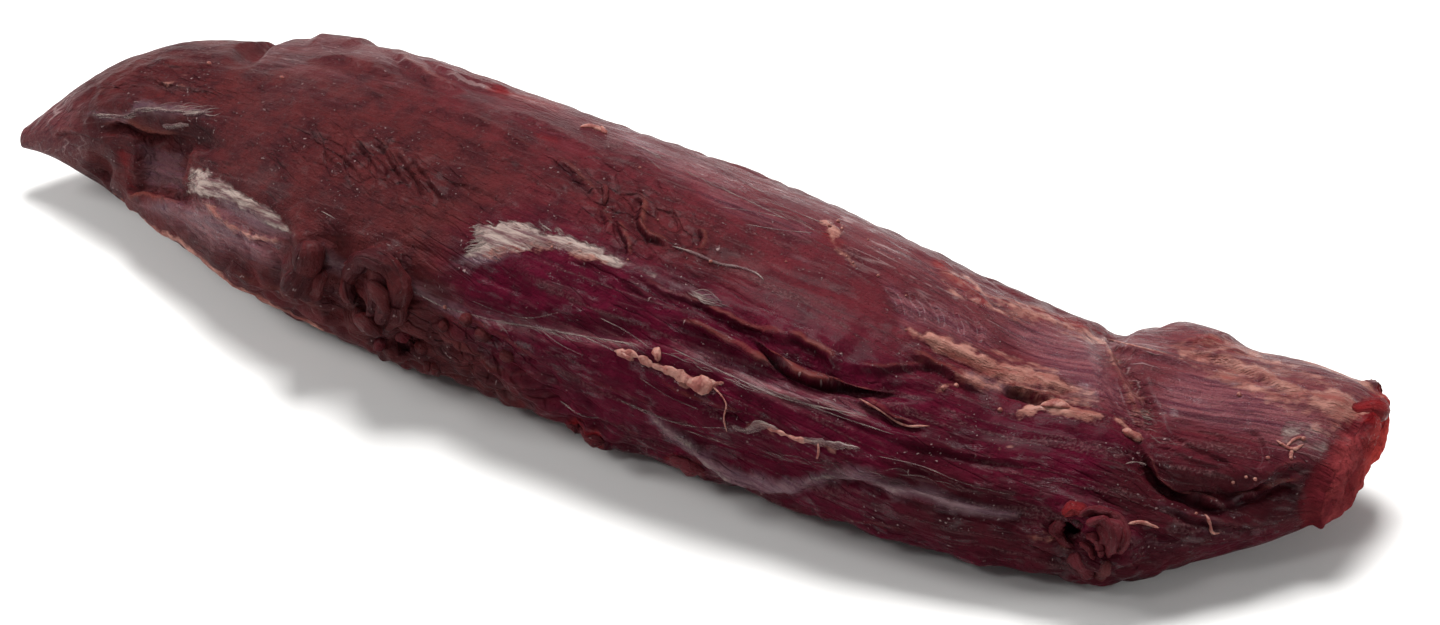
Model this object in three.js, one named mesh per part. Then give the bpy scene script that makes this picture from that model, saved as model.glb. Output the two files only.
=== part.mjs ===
// Raw beef petite tender: one whole trimmed muscle, lying on a flat surface.
//
// Millimetres, +Z up. The muscle lies along +X, from its thin tip to its cut
// end, and the origin is at the bottom centre of its box.
//
// Every place on the skin has two numbers: "along", in millimetres from the
// tip, and "round", in degrees about the muscle's length. Round 0 is the far
// side (+Y), 90 the top, 180 the near side (-Y) and 270 the underside.

import * as THREE from "three";

// Driving dimensions
const LENGTH_TO_CUT = 235;
const CUT_BULGE = 3;
const TIP_ROUNDING = 0.6;
const HALF_LENGTH = (LENGTH_TO_CUT + CUT_BULGE - TIP_ROUNDING) / 2;
const SAG_ON_SURFACE = 1.2;
const TOP_SQUARENESS = 2.1;
const UNDERSIDE_SQUARENESS = 2.7;
const CUT_SQUARENESS = 5;

// Cross-sections: where the middle lies across, the half width, the height,
// how far the underside clears the surface, and the roll in degrees
const SECTIONS = [
  { along: 0, across: -15.0, halfWidth: 1.6, height: 2.6, clear: 9.2, roll: 0 },
  { along: 5, across: -10.0, halfWidth: 6.6, height: 9.2, clear: 7.8, roll: 0 },
  { along: 11, across: -5.4, halfWidth: 11.6, height: 16.4, clear: 5.4, roll: 0 },
  { along: 19, across: -3.0, halfWidth: 16.0, height: 22.4, clear: 3.6, roll: 0 },
  { along: 29, across: -2.0, halfWidth: 19.6, height: 25.6, clear: 2.6, roll: 0 },
  { along: 41, across: -1.6, halfWidth: 23.6, height: 29.2, clear: 1.4, roll: 0 },
  { along: 56, across: -3.2, halfWidth: 27.0, height: 34.0, clear: 0.4, roll: 0 },
  { along: 76, across: -4.4, halfWidth: 27.4, height: 36.8, clear: 0.0, roll: 0 },
  { along: 97, across: -4.8, halfWidth: 27.0, height: 37.8, clear: 0.0, roll: 0 },
  { along: 120, across: -5.0, halfWidth: 27.0, height: 38.0, clear: 0.0, roll: 0 },
  { along: 142, across: -4.8, halfWidth: 27.0, height: 37.2, clear: 0.0, roll: 0 },
  { along: 162, across: -4.0, halfWidth: 25.8, height: 34.4, clear: 0.0, roll: 0 },
  { along: 177, across: -2.6, halfWidth: 25.6, height: 30.6, clear: 0.0, roll: 0 },
  { along: 190, across: 0.2, halfWidth: 25.6, height: 27.0, clear: 0.0, roll: 0 },
  { along: 202, across: 3.8, halfWidth: 25.4, height: 26.4, clear: 0.4, roll: 1 },
  { along: 214, across: 7.8, halfWidth: 24.4, height: 23.4, clear: 1.6, roll: 3 },
  { along: 226, across: 14.6, halfWidth: 18.6, height: 17.8, clear: 5.2, roll: 8 },
  { along: 235, across: 19.6, halfWidth: 13.2, height: 12.8, clear: 7.6, roll: 13 },
];

// Relief: each crease or swelling follows a path of [along, round] places,
// reaches so many millimetres to each side, and rises or sinks at its middle
const RELIEF = [
  // Thin end: the hollow under the overhanging ridge, and the lip below it
  { name: "hollow", path: [[27, 160], [33, 155], [40, 150]], reach: 8, rise: -4.2 },
  { name: "cleft", path: [[18, 149], [24, 140], [31, 139], [40, 134], [48, 134]], reach: 3, rise: -1.8 },
  { name: "ridge over the cleft", path: [[12, 137], [24, 133], [33, 125], [44, 119]], reach: 4, rise: 1.2 },
  { name: "lip groove", path: [[29, 181], [36, 174], [44, 165]], reach: 3, rise: -1.8 },
  { name: "lip", path: [[27, 196], [36, 196], [46, 194], [58, 192], [70, 188]], reach: 4.5, rise: 1.0 },
  { name: "throat", path: [[17, 205], [19, 190], [20, 178]], reach: 4, rise: -2.5 },
  { name: "notch behind the thin end", path: [[37, 10], [35, 40], [34, 66], [37, 84]], reach: 3.6, rise: -2.6 },
  { name: "swelling behind the notch", path: [[41, 47], [46, 44], [52, 44]], reach: 9, rise: 1.6 },

  // Two curled flaps low on the near side, and the hole beside them
  { name: "near roll", path: [[70, 152], [72, 162], [71, 174], [69, 186]], reach: 3.8, rise: 2.6 },
  { name: "gap between the rolls", path: [[78, 150], [79, 168], [77, 190]], reach: 3, rise: -1.4 },
  { name: "ear roll", path: [[85, 150], [88, 162], [87, 176], [84, 190]], reach: 4.8, rise: 3.4 },
  { name: "hollow of the ear", path: [[84, 176], [84, 186]], reach: 2.6, rise: -2.4 },
  { name: "hole below the ear", path: [[91, 189], [92, 200]], reach: 3, rise: -3.0 },
  { name: "heel of the ear", path: [[84, 214], [90, 216]], reach: 6, rise: 1.0 },

  // Near flank: layered muscle with long creases between the layers
  { name: "web crease", path: [[93, 160], [103, 165], [120, 157], [138, 146]], reach: 2.8, rise: -0.9 },
  { name: "torn cracks", path: [[108, 92], [116, 94], [124, 98], [133, 103]], reach: 2.8, rise: -1.0 },
  { name: "upper crevice", path: [[149, 129], [158, 134], [168, 132], [178, 124]], reach: 2.8, rise: -1.7 },
  { name: "lower crevice", path: [[141, 143], [157, 144], [170, 141], [182, 132]], reach: 2.8, rise: -1.2 },
  { name: "sheet crease", path: [[140, 175], [150, 185], [160, 184], [186, 166], [202, 165]], reach: 3, rise: -1.3 },
  { name: "low bump", path: [[124, 214], [129, 216]], reach: 4.5, rise: 1.4 },
  { name: "lower bump", path: [[142, 212], [147, 210]], reach: 4.5, rise: 0.5 },
  { name: "fat ridge", path: [[170, 101], [180, 98], [190, 98], [198, 95]], reach: 3.4, rise: 1.1 },

  // Waist: the seam that parts the long body from the lobe at the cut end
  { name: "near waist seam", path: [[194, 30], [195, 60], [199, 78], [205, 96], [210, 110], [213, 124]], reach: 4.6, rise: -2.0 },
  { name: "low waist seam", path: [[213, 124], [217, 136], [224, 149], [230, 154]], reach: 4.6, rise: -1.9 },
  { name: "shoulder", path: [[202, 28], [206, 38], [212, 50]], reach: 8, rise: 2.4 },
  { name: "lobe fold", path: [[216, 132], [224, 141], [231, 139]], reach: 3, rise: -1.6 },
  { name: "nub", path: [[233, 4], [235, 10]], reach: 4.5, rise: 2.0 },

  // Curled scrap low down near the cut end
  { name: "curl", path: [[204, 158], [209, 160], [214, 168], [213, 180], [208, 186]], reach: 3.6, rise: 2.6 },
  { name: "hole in the curl", path: [[205, 170], [207, 175]], reach: 3, rise: -3.4 },
  { name: "heel of the curl", path: [[205, 205], [211, 214], [219, 212]], reach: 6, rise: 1.0 },

  // Far side: long shallow furrows, and the waist seam running on round
  { name: "far furrow", path: [[56, -22], [88, -14], [126, -20], [160, -30]], reach: 5, rise: -1.6 },
  { name: "far swelling", path: [[96, 10], [120, 6], [142, 12]], reach: 10, rise: 0.6 },
  { name: "far fold", path: [[146, 12], [166, 2], [184, -10]], reach: 3.6, rise: -1.3 },
  { name: "far waist seam", path: [[194, 30], [191, 4], [189, -22], [192, -46]], reach: 4.4, rise: -1.9 },
  { name: "far tip furrow", path: [[13, 24], [26, 6], [42, -10]], reach: 3.6, rise: -1.2 },
  { name: "far lobe crease", path: [[204, -4], [214, -14], [226, -12]], reach: 3.2, rise: -1.1 },
];

// Mesh: facets are crowded on the near side, where the creases are
const FACETS_ROUND = 60;
const RINGS = 88;
const CUT_RINGS = 8;
const CREASED_SIDE = 150;
const CROWDING = 0.3;
const PATH_STEP = 0.5;
const SLOPE_STEP = 0.2;

const degrees = THREE.MathUtils.degToRad;
const signedPower = (value, power) => Math.sign(value) * Math.abs(value) ** power;

// Smooth curve through one column of the sections
function slopeAt(column, i) {
  const last = SECTIONS.length - 1;
  const rise = (j) =>
    (SECTIONS[j + 1][column] - SECTIONS[j][column]) / (SECTIONS[j + 1].along - SECTIONS[j].along);
  if (i === 0) return rise(0);
  if (i === last) return rise(last - 1);
  const before = SECTIONS[i].along - SECTIONS[i - 1].along;
  const after = SECTIONS[i + 1].along - SECTIONS[i].along;
  return (rise(i - 1) * after + rise(i) * before) / (before + after);
}

function sectionValue(column, along) {
  const x = THREE.MathUtils.clamp(along, 0, LENGTH_TO_CUT);
  let i = 0;
  while (i < SECTIONS.length - 2 && x >= SECTIONS[i + 1].along) i += 1;
  const step = SECTIONS[i + 1].along - SECTIONS[i].along;
  const t = (x - SECTIONS[i].along) / step;
  const fromStart = (1 + 2 * t) * (1 - t) ** 2 * SECTIONS[i][column];
  const fromEnd = t * t * (3 - 2 * t) * SECTIONS[i + 1][column];
  const startSlope = t * (1 - t) ** 2 * step * slopeAt(column, i);
  const endSlope = t * t * (t - 1) * step * slopeAt(column, i + 1);
  return fromStart + fromEnd + startSlope + endSlope;
}

// Plain skin without relief: a squarish oval, rolled about its middle
function plainSkin(along, round, shrink = 1) {
  const halfWidth = sectionValue("halfWidth", along);
  const height = sectionValue("height", along);
  const clear = sectionValue("clear", along);
  const roll = degrees(sectionValue("roll", along));
  const squareness = Math.sin(round) > 0 ? TOP_SQUARENESS : UNDERSIDE_SQUARENESS;
  const wide = shrink * halfWidth * signedPower(Math.cos(round), 2 / squareness);
  const tall = (shrink * (height + SAG_ON_SURFACE) * signedPower(Math.sin(round), 2 / squareness)) / 2;
  return new THREE.Vector3(
    along - HALF_LENGTH,
    sectionValue("across", along) + wide * Math.cos(roll) - tall * Math.sin(roll),
    clear + (height - SAG_ON_SURFACE) / 2 + wide * Math.sin(roll) + tall * Math.cos(roll),
  );
}

function outwardNormal(along, round, shrink, place) {
  const forward = plainSkin(along + SLOPE_STEP, round, shrink).sub(place);
  const sideways = plainSkin(along, round + degrees(1), shrink).sub(place);
  const normal = sideways.cross(forward);
  return normal.lengthSq() > 0 ? normal.normalize() : normal;
}

// Relief paths as points on the plain skin, about half a millimetre apart
const creases = RELIEF.map(({ path, reach, rise }) => {
  const curve = new THREE.CatmullRomCurve3(path.map(([along, round]) => plainSkin(along, degrees(round))));
  const steps = Math.ceil(curve.getLength() / PATH_STEP);
  return { points: curve.getSpacedPoints(steps), reach, rise };
});

// Each crease fades out over the last quarter of its path
function creaseDepth(crease, place) {
  let nearest = Infinity;
  let where = 0;
  crease.points.forEach((point, i) => {
    const distance = point.distanceToSquared(place);
    if (distance < nearest) {
      nearest = distance;
      where = i / (crease.points.length - 1);
    }
  });
  const share = nearest / crease.reach ** 2;
  if (share >= 1) return 0;
  const fade = Math.min(1, 0.35 + 4 * Math.min(where, 1 - where));
  return crease.rise * (1 - share) ** 2 * fade;
}

function skin(along, round, shrink) {
  const place = plainSkin(along, round, shrink);
  const depth = creases.reduce((sum, crease) => sum + creaseDepth(crease, place), 0);
  place.addScaledVector(outwardNormal(along, round, shrink, place), depth);
  place.z = Math.max(place.z, 0);
  return place;
}

// Rings from the tip to the middle of the cut face
function ringPlace(ring) {
  if (ring === 0) return { along: -TIP_ROUNDING, shrink: 0 };
  const bodyRings = RINGS - CUT_RINGS;
  if (ring <= bodyRings) return { along: ((ring - 1) / (bodyRings - 1)) * LENGTH_TO_CUT, shrink: 1 };
  const turn = (Math.PI / 2) * ((ring - bodyRings) / CUT_RINGS);
  return {
    along: LENGTH_TO_CUT + CUT_BULGE * Math.sin(turn) ** (2 / CUT_SQUARENESS),
    shrink: ring === RINGS ? 0 : Math.cos(turn) ** (2 / CUT_SQUARENESS),
  };
}

function crowdedAngle(turn) {
  return turn - CROWDING * Math.sin(turn - degrees(CREASED_SIDE));
}

function muscleGeometry() {
  const geometry = new THREE.SphereGeometry(1, FACETS_ROUND, RINGS);
  const uv = geometry.attributes.uv;
  const position = geometry.attributes.position;
  for (let i = 0; i < position.count; i += 1) {
    const { along, shrink } = ringPlace(Math.round((1 - uv.getY(i)) * RINGS));
    const turn = 1 - Math.round(uv.getX(i) * FACETS_ROUND) / FACETS_ROUND;
    const place = skin(along, crowdedAngle(2 * Math.PI * turn), shrink);
    position.setXYZ(i, place.x, place.y, place.z);
  }
  geometry.computeVertexNormals();
  return geometry;
}

const leanMeat = new THREE.MeshStandardMaterial({ color: 0x6e2a30, roughness: 0.42, metalness: 0 });

const petiteTender = new THREE.Mesh(muscleGeometry(), leanMeat);
petiteTender.name = "petite_tender";

const group = new THREE.Group();
group.add(petiteTender);

export default group;
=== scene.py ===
"""Raw beef petite tender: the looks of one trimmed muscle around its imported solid.

Two kinds of place are used. A body place is (along, round): millimetres from the thin tip, and
degrees about the muscle's length, where 0 is the far side, 90 the top, 180 the near side and 270
the underside. A view place is a pixel of the 1440 x 625 reference view, and marks given that way
lie only on the skin that this view shows.
"""
import logging
import math
from dataclasses import dataclass
from enum import Enum

import bpy
import numpy as np
from mathutils import Matrix, Vector
from mathutils.bvhtree import BVHTree


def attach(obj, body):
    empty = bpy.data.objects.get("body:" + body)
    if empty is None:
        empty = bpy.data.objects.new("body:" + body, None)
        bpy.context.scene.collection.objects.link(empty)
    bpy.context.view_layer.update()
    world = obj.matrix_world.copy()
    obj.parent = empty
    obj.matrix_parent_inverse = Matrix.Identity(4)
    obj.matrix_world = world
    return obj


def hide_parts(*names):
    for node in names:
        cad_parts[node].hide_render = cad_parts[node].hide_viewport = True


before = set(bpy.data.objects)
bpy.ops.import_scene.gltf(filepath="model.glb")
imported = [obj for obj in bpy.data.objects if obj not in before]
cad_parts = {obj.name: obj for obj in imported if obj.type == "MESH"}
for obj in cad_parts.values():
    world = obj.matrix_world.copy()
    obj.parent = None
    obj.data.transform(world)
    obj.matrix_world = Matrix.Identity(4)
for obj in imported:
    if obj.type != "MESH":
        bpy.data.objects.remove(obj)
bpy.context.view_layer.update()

LOG = logging.getLogger("petite_tender")
NODE = "petite_tender"
MM = 0.001

Place = tuple[float, float]
Path = tuple[Place, ...]
Place3 = tuple[float, float, float]
Layers = dict[str, np.ndarray]
Socket = bpy.types.NodeSocket


# Form of the muscle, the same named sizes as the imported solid


@dataclass(frozen=True)
class Section:
    """One cross-section of the muscle, in millimetres and degrees."""

    along: float
    across: float
    half_width: float
    height: float
    clear: float
    roll: float


@dataclass(frozen=True)
class Crease:
    """A groove or swelling along a path of body places."""

    name: str
    path: Path
    reach: float
    rise: float


SECTIONS = (
    Section(0, -15.0, 1.6, 2.6, 9.2, 0),
    Section(5, -10.0, 6.6, 9.2, 7.8, 0),
    Section(11, -5.4, 11.6, 16.4, 5.4, 0),
    Section(19, -3.0, 16.0, 22.4, 3.6, 0),
    Section(29, -2.0, 19.6, 25.6, 2.6, 0),
    Section(41, -1.6, 23.6, 29.2, 1.4, 0),
    Section(56, -3.2, 27.0, 34.0, 0.4, 0),
    Section(76, -4.4, 27.4, 36.8, 0.0, 0),
    Section(97, -4.8, 27.0, 37.8, 0.0, 0),
    Section(120, -5.0, 27.0, 38.0, 0.0, 0),
    Section(142, -4.8, 27.0, 37.2, 0.0, 0),
    Section(162, -4.0, 25.8, 34.4, 0.0, 0),
    Section(177, -2.6, 25.6, 30.6, 0.0, 0),
    Section(190, 0.2, 25.6, 27.0, 0.0, 0),
    Section(202, 3.8, 25.4, 26.4, 0.4, 1),
    Section(214, 7.8, 24.4, 23.4, 1.6, 3),
    Section(226, 14.6, 18.6, 17.8, 5.2, 8),
    Section(235, 19.6, 13.2, 12.8, 7.6, 13),
)

CREASES = (
    Crease("hollow", ((27, 160), (33, 155), (40, 150)), 8, -4.2),
    Crease("cleft", ((18, 149), (24, 140), (31, 139), (40, 134), (48, 134)), 3, -1.8),
    Crease("ridge over the cleft", ((12, 137), (24, 133), (33, 125), (44, 119)), 4, 1.2),
    Crease("lip groove", ((29, 181), (36, 174), (44, 165)), 3, -1.8),
    Crease("lip", ((27, 196), (36, 196), (46, 194), (58, 192), (70, 188)), 4.5, 1.0),
    Crease("throat", ((17, 205), (19, 190), (20, 178)), 4, -2.5),
    Crease("notch behind the thin end", ((37, 10), (35, 40), (34, 66), (37, 84)), 3.6, -2.6),
    Crease("swelling behind the notch", ((41, 47), (46, 44), (52, 44)), 9, 1.6),
    Crease("near roll", ((70, 152), (72, 162), (71, 174), (69, 186)), 3.8, 2.6),
    Crease("gap between the rolls", ((78, 150), (79, 168), (77, 190)), 3, -1.4),
    Crease("ear roll", ((85, 150), (88, 162), (87, 176), (84, 190)), 4.8, 3.4),
    Crease("hollow of the ear", ((84, 176), (84, 186)), 2.6, -2.4),
    Crease("hole below the ear", ((91, 189), (92, 200)), 3, -3.0),
    Crease("heel of the ear", ((84, 214), (90, 216)), 6, 1.0),
    Crease("web crease", ((93, 160), (103, 165), (120, 157), (138, 146)), 2.8, -0.9),
    Crease("torn cracks", ((108, 92), (116, 94), (124, 98), (133, 103)), 2.8, -1.0),
    Crease("upper crevice", ((149, 129), (158, 134), (168, 132), (178, 124)), 2.8, -1.7),
    Crease("lower crevice", ((141, 143), (157, 144), (170, 141), (182, 132)), 2.8, -1.2),
    Crease("sheet crease", ((140, 175), (150, 185), (160, 184), (186, 166), (202, 165)), 3, -1.3),
    Crease("low bump", ((124, 214), (129, 216)), 4.5, 1.4),
    Crease("lower bump", ((142, 212), (147, 210)), 4.5, 0.5),
    Crease("fat ridge", ((170, 101), (180, 98), (190, 98), (198, 95)), 3.4, 1.1),
    Crease("near waist seam", (
        (194, 30), (195, 60), (199, 78), (205, 96), (210, 110), (213, 124)
    ), 4.6, -2.0),
    Crease("low waist seam", ((213, 124), (217, 136), (224, 149), (230, 154)), 4.6, -1.9),
    Crease("shoulder", ((202, 28), (206, 38), (212, 50)), 8, 2.4),
    Crease("lobe fold", ((216, 132), (224, 141), (231, 139)), 3, -1.6),
    Crease("nub", ((233, 4), (235, 10)), 4.5, 2.0),
    Crease("curl", ((204, 158), (209, 160), (214, 168), (213, 180), (208, 186)), 3.6, 2.6),
    Crease("hole in the curl", ((205, 170), (207, 175)), 3, -3.4),
    Crease("heel of the curl", ((205, 205), (211, 214), (219, 212)), 6, 1.0),
    Crease("far furrow", ((56, -22), (88, -14), (126, -20), (160, -30)), 5, -1.6),
    Crease("far swelling", ((96, 10), (120, 6), (142, 12)), 10, 0.6),
    Crease("far fold", ((146, 12), (166, 2), (184, -10)), 3.6, -1.3),
    Crease("far waist seam", ((194, 30), (191, 4), (189, -22), (192, -46)), 4.4, -1.9),
    Crease("far tip furrow", ((13, 24), (26, 6), (42, -10)), 3.6, -1.2),
    Crease("far lobe crease", ((204, -4), (214, -14), (226, -12)), 3.2, -1.1),
)

LENGTH_TO_CUT = 235.0
CUT_BULGE = 3.0
TIP_ROUNDING = 0.6
HALF_LENGTH = (LENGTH_TO_CUT + CUT_BULGE - TIP_ROUNDING) / 2
SAG_ON_SURFACE = 1.2
TOP_SQUARENESS = 2.1
UNDERSIDE_SQUARENESS = 2.7
CUT_SQUARENESS = 5.0


# Reference view


VIEW_SIZE = (1440, 625)
VIEW_AZIMUTH = math.radians(31)
VIEW_ELEVATION = math.radians(38)
VIEW_TARGET = np.array([17.4, -6.5, 20.0])
VIEW_DISTANCE = 680.0
PIXELS_PER_MM = 6.2
SENSOR_MM = 36.0


@dataclass(frozen=True)
class View:
    """The reference view's direction and scale."""

    azimuth: float = VIEW_AZIMUTH
    elevation: float = VIEW_ELEVATION

    def axes(self) -> np.ndarray:
        """Right, up and backward unit vectors, one to a row."""
        a, e = self.azimuth, self.elevation
        back = np.array([math.sin(a) * math.cos(e), -math.cos(a) * math.cos(e), math.sin(e)])
        right = np.array([math.cos(a), math.sin(a), 0.0])
        return np.stack([right, np.cross(back, right), back])

    def eye(self) -> np.ndarray:
        """Where the camera stands, in millimetres."""
        return VIEW_TARGET + VIEW_DISTANCE * self.axes()[2]

    def pixels(self, points: np.ndarray) -> np.ndarray:
        """Where points show in the reference view.

        Args:
            points: Places in millimetres, one to a row.

        Returns:
            The pixel of each point, x to the right and y down.
        """
        right, up, depth = (self.axes() @ (points - VIEW_TARGET).T)
        scale = VIEW_DISTANCE * PIXELS_PER_MM / (VIEW_DISTANCE - depth)
        return np.stack([VIEW_SIZE[0] / 2 + scale * right, VIEW_SIZE[1] / 2 - scale * up], axis=1)

    def ray(self, pixel: np.ndarray) -> np.ndarray:
        """Direction in which the view looks through a pixel."""
        reach = VIEW_DISTANCE * PIXELS_PER_MM
        aside = np.array([pixel[0] - VIEW_SIZE[0] / 2, VIEW_SIZE[1] / 2 - pixel[1], -reach])
        direction = aside @ self.axes()
        return direction / np.linalg.norm(direction)


# Geometry helpers


def signed_power(value: np.ndarray, power: np.ndarray | float) -> np.ndarray:
    """Power that keeps the sign."""
    return np.sign(value) * np.abs(value) ** power


def smooth_step(value: np.ndarray, low: float, high: float) -> np.ndarray:
    """Rises smoothly from 0 at low to 1 at high."""
    t = np.clip((value - low) / (high - low), 0.0, 1.0)
    return t * t * (3 - 2 * t)


def smooth_curve(xs: np.ndarray, ys: np.ndarray, x: np.ndarray) -> np.ndarray:
    """Smooth curve through points with uneven steps.

    Args:
        xs: Rising positions of the points.
        ys: Their values.
        x: Where the curve is wanted.

    Returns:
        The curve's value at each x.
    """
    steps = np.diff(xs)
    rises = np.diff(ys) / steps
    inner = (rises[:-1] * steps[1:] + rises[1:] * steps[:-1]) / (steps[:-1] + steps[1:])
    slopes = np.concatenate([rises[:1], inner, rises[-1:]])
    i = np.clip(np.searchsorted(xs, x, side="right") - 1, 0, len(xs) - 2)
    t = (x - xs[i]) / steps[i]
    from_start = (1 + 2 * t) * (1 - t) ** 2 * ys[i] + t * (1 - t) ** 2 * steps[i] * slopes[i]
    from_end = t * t * (3 - 2 * t) * ys[i + 1] + t * t * (t - 1) * steps[i] * slopes[i + 1]
    return from_start + from_end


def path_distance(points: np.ndarray, path: np.ndarray) -> tuple[np.ndarray, np.ndarray, np.ndarray]:
    """Distance from points to a path of straight steps.

    Args:
        points: Places, one to a row.
        path: The path's corners, one to a row.

    Returns:
        Each point's distance, how far along the path its nearest place is, from 0 to 1, and its
        side, which is 1 above and -1 below a flat path that runs to the right.
    """
    best = np.full(len(points), np.inf)
    where = np.zeros(len(points))
    side = np.ones(len(points))
    for i, (start, end) in enumerate(zip(path[:-1], path[1:])):
        step = end - start
        away = points - start
        t = np.clip(away @ step / max(float(step @ step), 1e-12), 0, 1)
        gap = np.linalg.norm(away - t[:, None] * step, axis=1)
        closer = gap < best
        best[closer] = gap[closer]
        where[closer] = (i + t[closer]) / (len(path) - 1)
        turn = step[1] * away[:, 0] - step[0] * away[:, 1]
        side[closer] = np.where(turn[closer] > 0, 1.0, -1.0)
    return best, where, side


def inside_outline(points: np.ndarray, outline: np.ndarray) -> np.ndarray:
    """Whether each point of the view lies inside a closed outline."""
    inside = np.zeros(len(points), bool)
    for (x0, y0), (x1, y1) in zip(outline, np.roll(outline, -1, axis=0)):
        if y0 == y1:
            continue
        crosses = (points[:, 1] > min(y0, y1)) & (points[:, 1] <= max(y0, y1))
        inside ^= crosses & (points[:, 0] < x0 + (points[:, 1] - y0) * (x1 - x0) / (y1 - y0))
    return inside


def ring_quads(ring_count: int, round_count: int) -> tuple[np.ndarray, np.ndarray, np.ndarray]:
    """Faces of a tube of rings, wound outward.

    Args:
        ring_count: Number of rings.
        round_count: Number of vertices in each ring.

    Returns:
        The four-sided faces, and the numbers within a ring of each vertex and of the next one.
    """
    ring = np.arange(ring_count - 1)[:, None] * round_count
    here = np.arange(round_count)[None, :]
    there = (here + 1) % round_count
    ahead = ring + round_count
    quads = np.stack([ring + here, ring + there, ahead + there, ahead + here], axis=-1)
    return quads.reshape(-1, 4), here[0], there[0]


def rounded_path(path: Path, steps: int = 6) -> np.ndarray:
    """A path with smooth bends, as many short straight steps."""
    corners = np.array(path, float)
    if len(corners) < 3:
        return corners
    lengths = np.concatenate([[0], np.cumsum(np.linalg.norm(np.diff(corners, axis=0), axis=1))])
    at = np.linspace(0, lengths[-1], steps * (len(corners) - 1) + 1)
    return np.stack([smooth_curve(lengths, corners[:, k], at) for k in range(corners.shape[1])], axis=1)


class Grain:
    """Repeatable smooth noise in numpy, with values from about -1 to 1."""

    GAIN = 1.6
    OCTAVE_SHIFT = 17.3
    OCTAVE_SUM = 1.6

    def __init__(self, seed: int) -> None:
        """Makes the lattice of random directions from a seed."""
        draw = np.random.default_rng(seed)
        self.order = np.tile(draw.permutation(256), 3)
        slopes = draw.normal(size=(256, 3))
        self.slopes = slopes / np.linalg.norm(slopes, axis=1, keepdims=True)

    def at(self, points: np.ndarray) -> np.ndarray:
        """Noise at points that are one unit apart from bump to bump."""
        cell = np.floor(points).astype(int)
        inner = points - cell
        ease = inner ** 3 * (inner * (inner * 6 - 15) + 10)
        total = np.zeros(len(points))
        for corner in np.ndindex(2, 2, 2):
            x, y, z = ((cell + corner) % 256).T
            slope = self.slopes[self.order[self.order[self.order[x] + y] + z]]
            weight = np.prod(np.where(np.array(corner) == 1, ease, 1 - ease), axis=1)
            total += weight * np.einsum("ij,ij->i", slope, inner - corner)
        return self.GAIN * total

    def layers(self, points: np.ndarray, octaves: int) -> np.ndarray:
        """Noise with finer and weaker layers added."""
        added = sum(self.at(points * 2.0 ** k + self.OCTAVE_SHIFT * k) / 2 ** k for k in range(octaves))
        return added / self.OCTAVE_SUM


class Muscle:
    """The muscle's plain form, worked out from its sections."""

    def __init__(self) -> None:
        """Reads the sections into columns."""
        self.along = np.array([s.along for s in SECTIONS], float)
        self.columns = {
            name: np.array([getattr(s, name) for s in SECTIONS], float)
            for name in ("across", "half_width", "height", "clear", "roll")
        }

    def value(self, name: str, along: np.ndarray) -> np.ndarray:
        """One size of the sections at any place along."""
        return smooth_curve(self.along, self.columns[name], np.clip(along, 0, LENGTH_TO_CUT))

    def plain(self, along: np.ndarray, turn: np.ndarray, shrink: np.ndarray | float = 1.0) -> np.ndarray:
        """Skin without creases.

        Args:
            along: Millimetres from the tip.
            turn: Radians about the length.
            shrink: Share of the section's size, below 1 on the cut face.

        Returns:
            Places in millimetres, one to a row.
        """
        cos, sin = np.cos(turn), np.sin(turn)
        power = 2 / np.where(sin > 0, TOP_SQUARENESS, UNDERSIDE_SQUARENESS)
        height = self.value("height", along)
        wide = shrink * self.value("half_width", along) * signed_power(cos, power)
        tall = shrink * (height + SAG_ON_SURFACE) / 2 * signed_power(sin, power)
        roll = np.radians(self.value("roll", along))
        across = self.value("across", along) + wide * np.cos(roll) - tall * np.sin(roll)
        middle = self.value("clear", along) + (height - SAG_ON_SURFACE) / 2
        up = middle + wide * np.sin(roll) + tall * np.cos(roll)
        return np.stack([along - HALF_LENGTH, across, up], axis=1)

    def path(self, path: Path) -> np.ndarray:
        """A path of body places as places on the plain skin."""
        places = rounded_path(path)
        return self.plain(places[:, 0], np.radians(places[:, 1]))


# Marks on the skin


class Tissue(Enum):
    """What a mark is made of. A crevice mark is painted shade, and the sheen, gleam, glint and long top
    streak marks are painted highlights. Each has a painted layer of its own on the mesh.
    """

    FAT = "fat"
    SILVERSKIN = "silverskin"
    MEMBRANE_AND_SHEEN = "membrane"
    RAW_RED = "raw_red"
    CREVICE_SHADE = "crevice"
    SCALY = "scaly"
    VEIL_AND_SHEEN = "veil"


SOFT_EDGE_MM = {
    Tissue.FAT: 1.0,
    Tissue.SILVERSKIN: 1.0,
    Tissue.MEMBRANE_AND_SHEEN: 2.6,
    Tissue.RAW_RED: 1.6,
    Tissue.CREVICE_SHADE: 1.0,
    Tissue.SCALY: 3.0,
    Tissue.VEIL_AND_SHEEN: 1.2,
}


@dataclass(frozen=True)
class Mark:
    """A line or patch of one tissue.

    The path is view places, or body places where on_body is true. The half width and the rise are
    in millimetres. A patch is the path's closed outline.
    """

    name: str
    tissue: Tissue
    path: Path
    half_width: float = 0.5
    rise: float = 0.0
    strength: float = 1.0
    patch: bool = False
    on_body: bool = False


@dataclass(frozen=True)
class Ledge:
    """The edge of a sheet that overlaps its neighbour.

    On a path that runs to the right, the skin above it is raised and drops off sharply below. Its foot gets
    painted shade as strong as its shade, and its raised edge a paler lip, partly a painted highlight.
    """

    name: str
    path: Path
    reach: float
    rise: float
    shade: float = 0.7
    on_body: bool = False


# Short names for the table below. C marks are painted shade; the sheen, gleam, glint and long top streak
# marks are painted highlights.
F, S, M, R, C, Q, V = (
    Tissue.FAT, Tissue.SILVERSKIN, Tissue.MEMBRANE_AND_SHEEN, Tissue.RAW_RED, Tissue.CREVICE_SHADE, Tissue.SCALY, Tissue.VEIL_AND_SHEEN,
)

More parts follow.
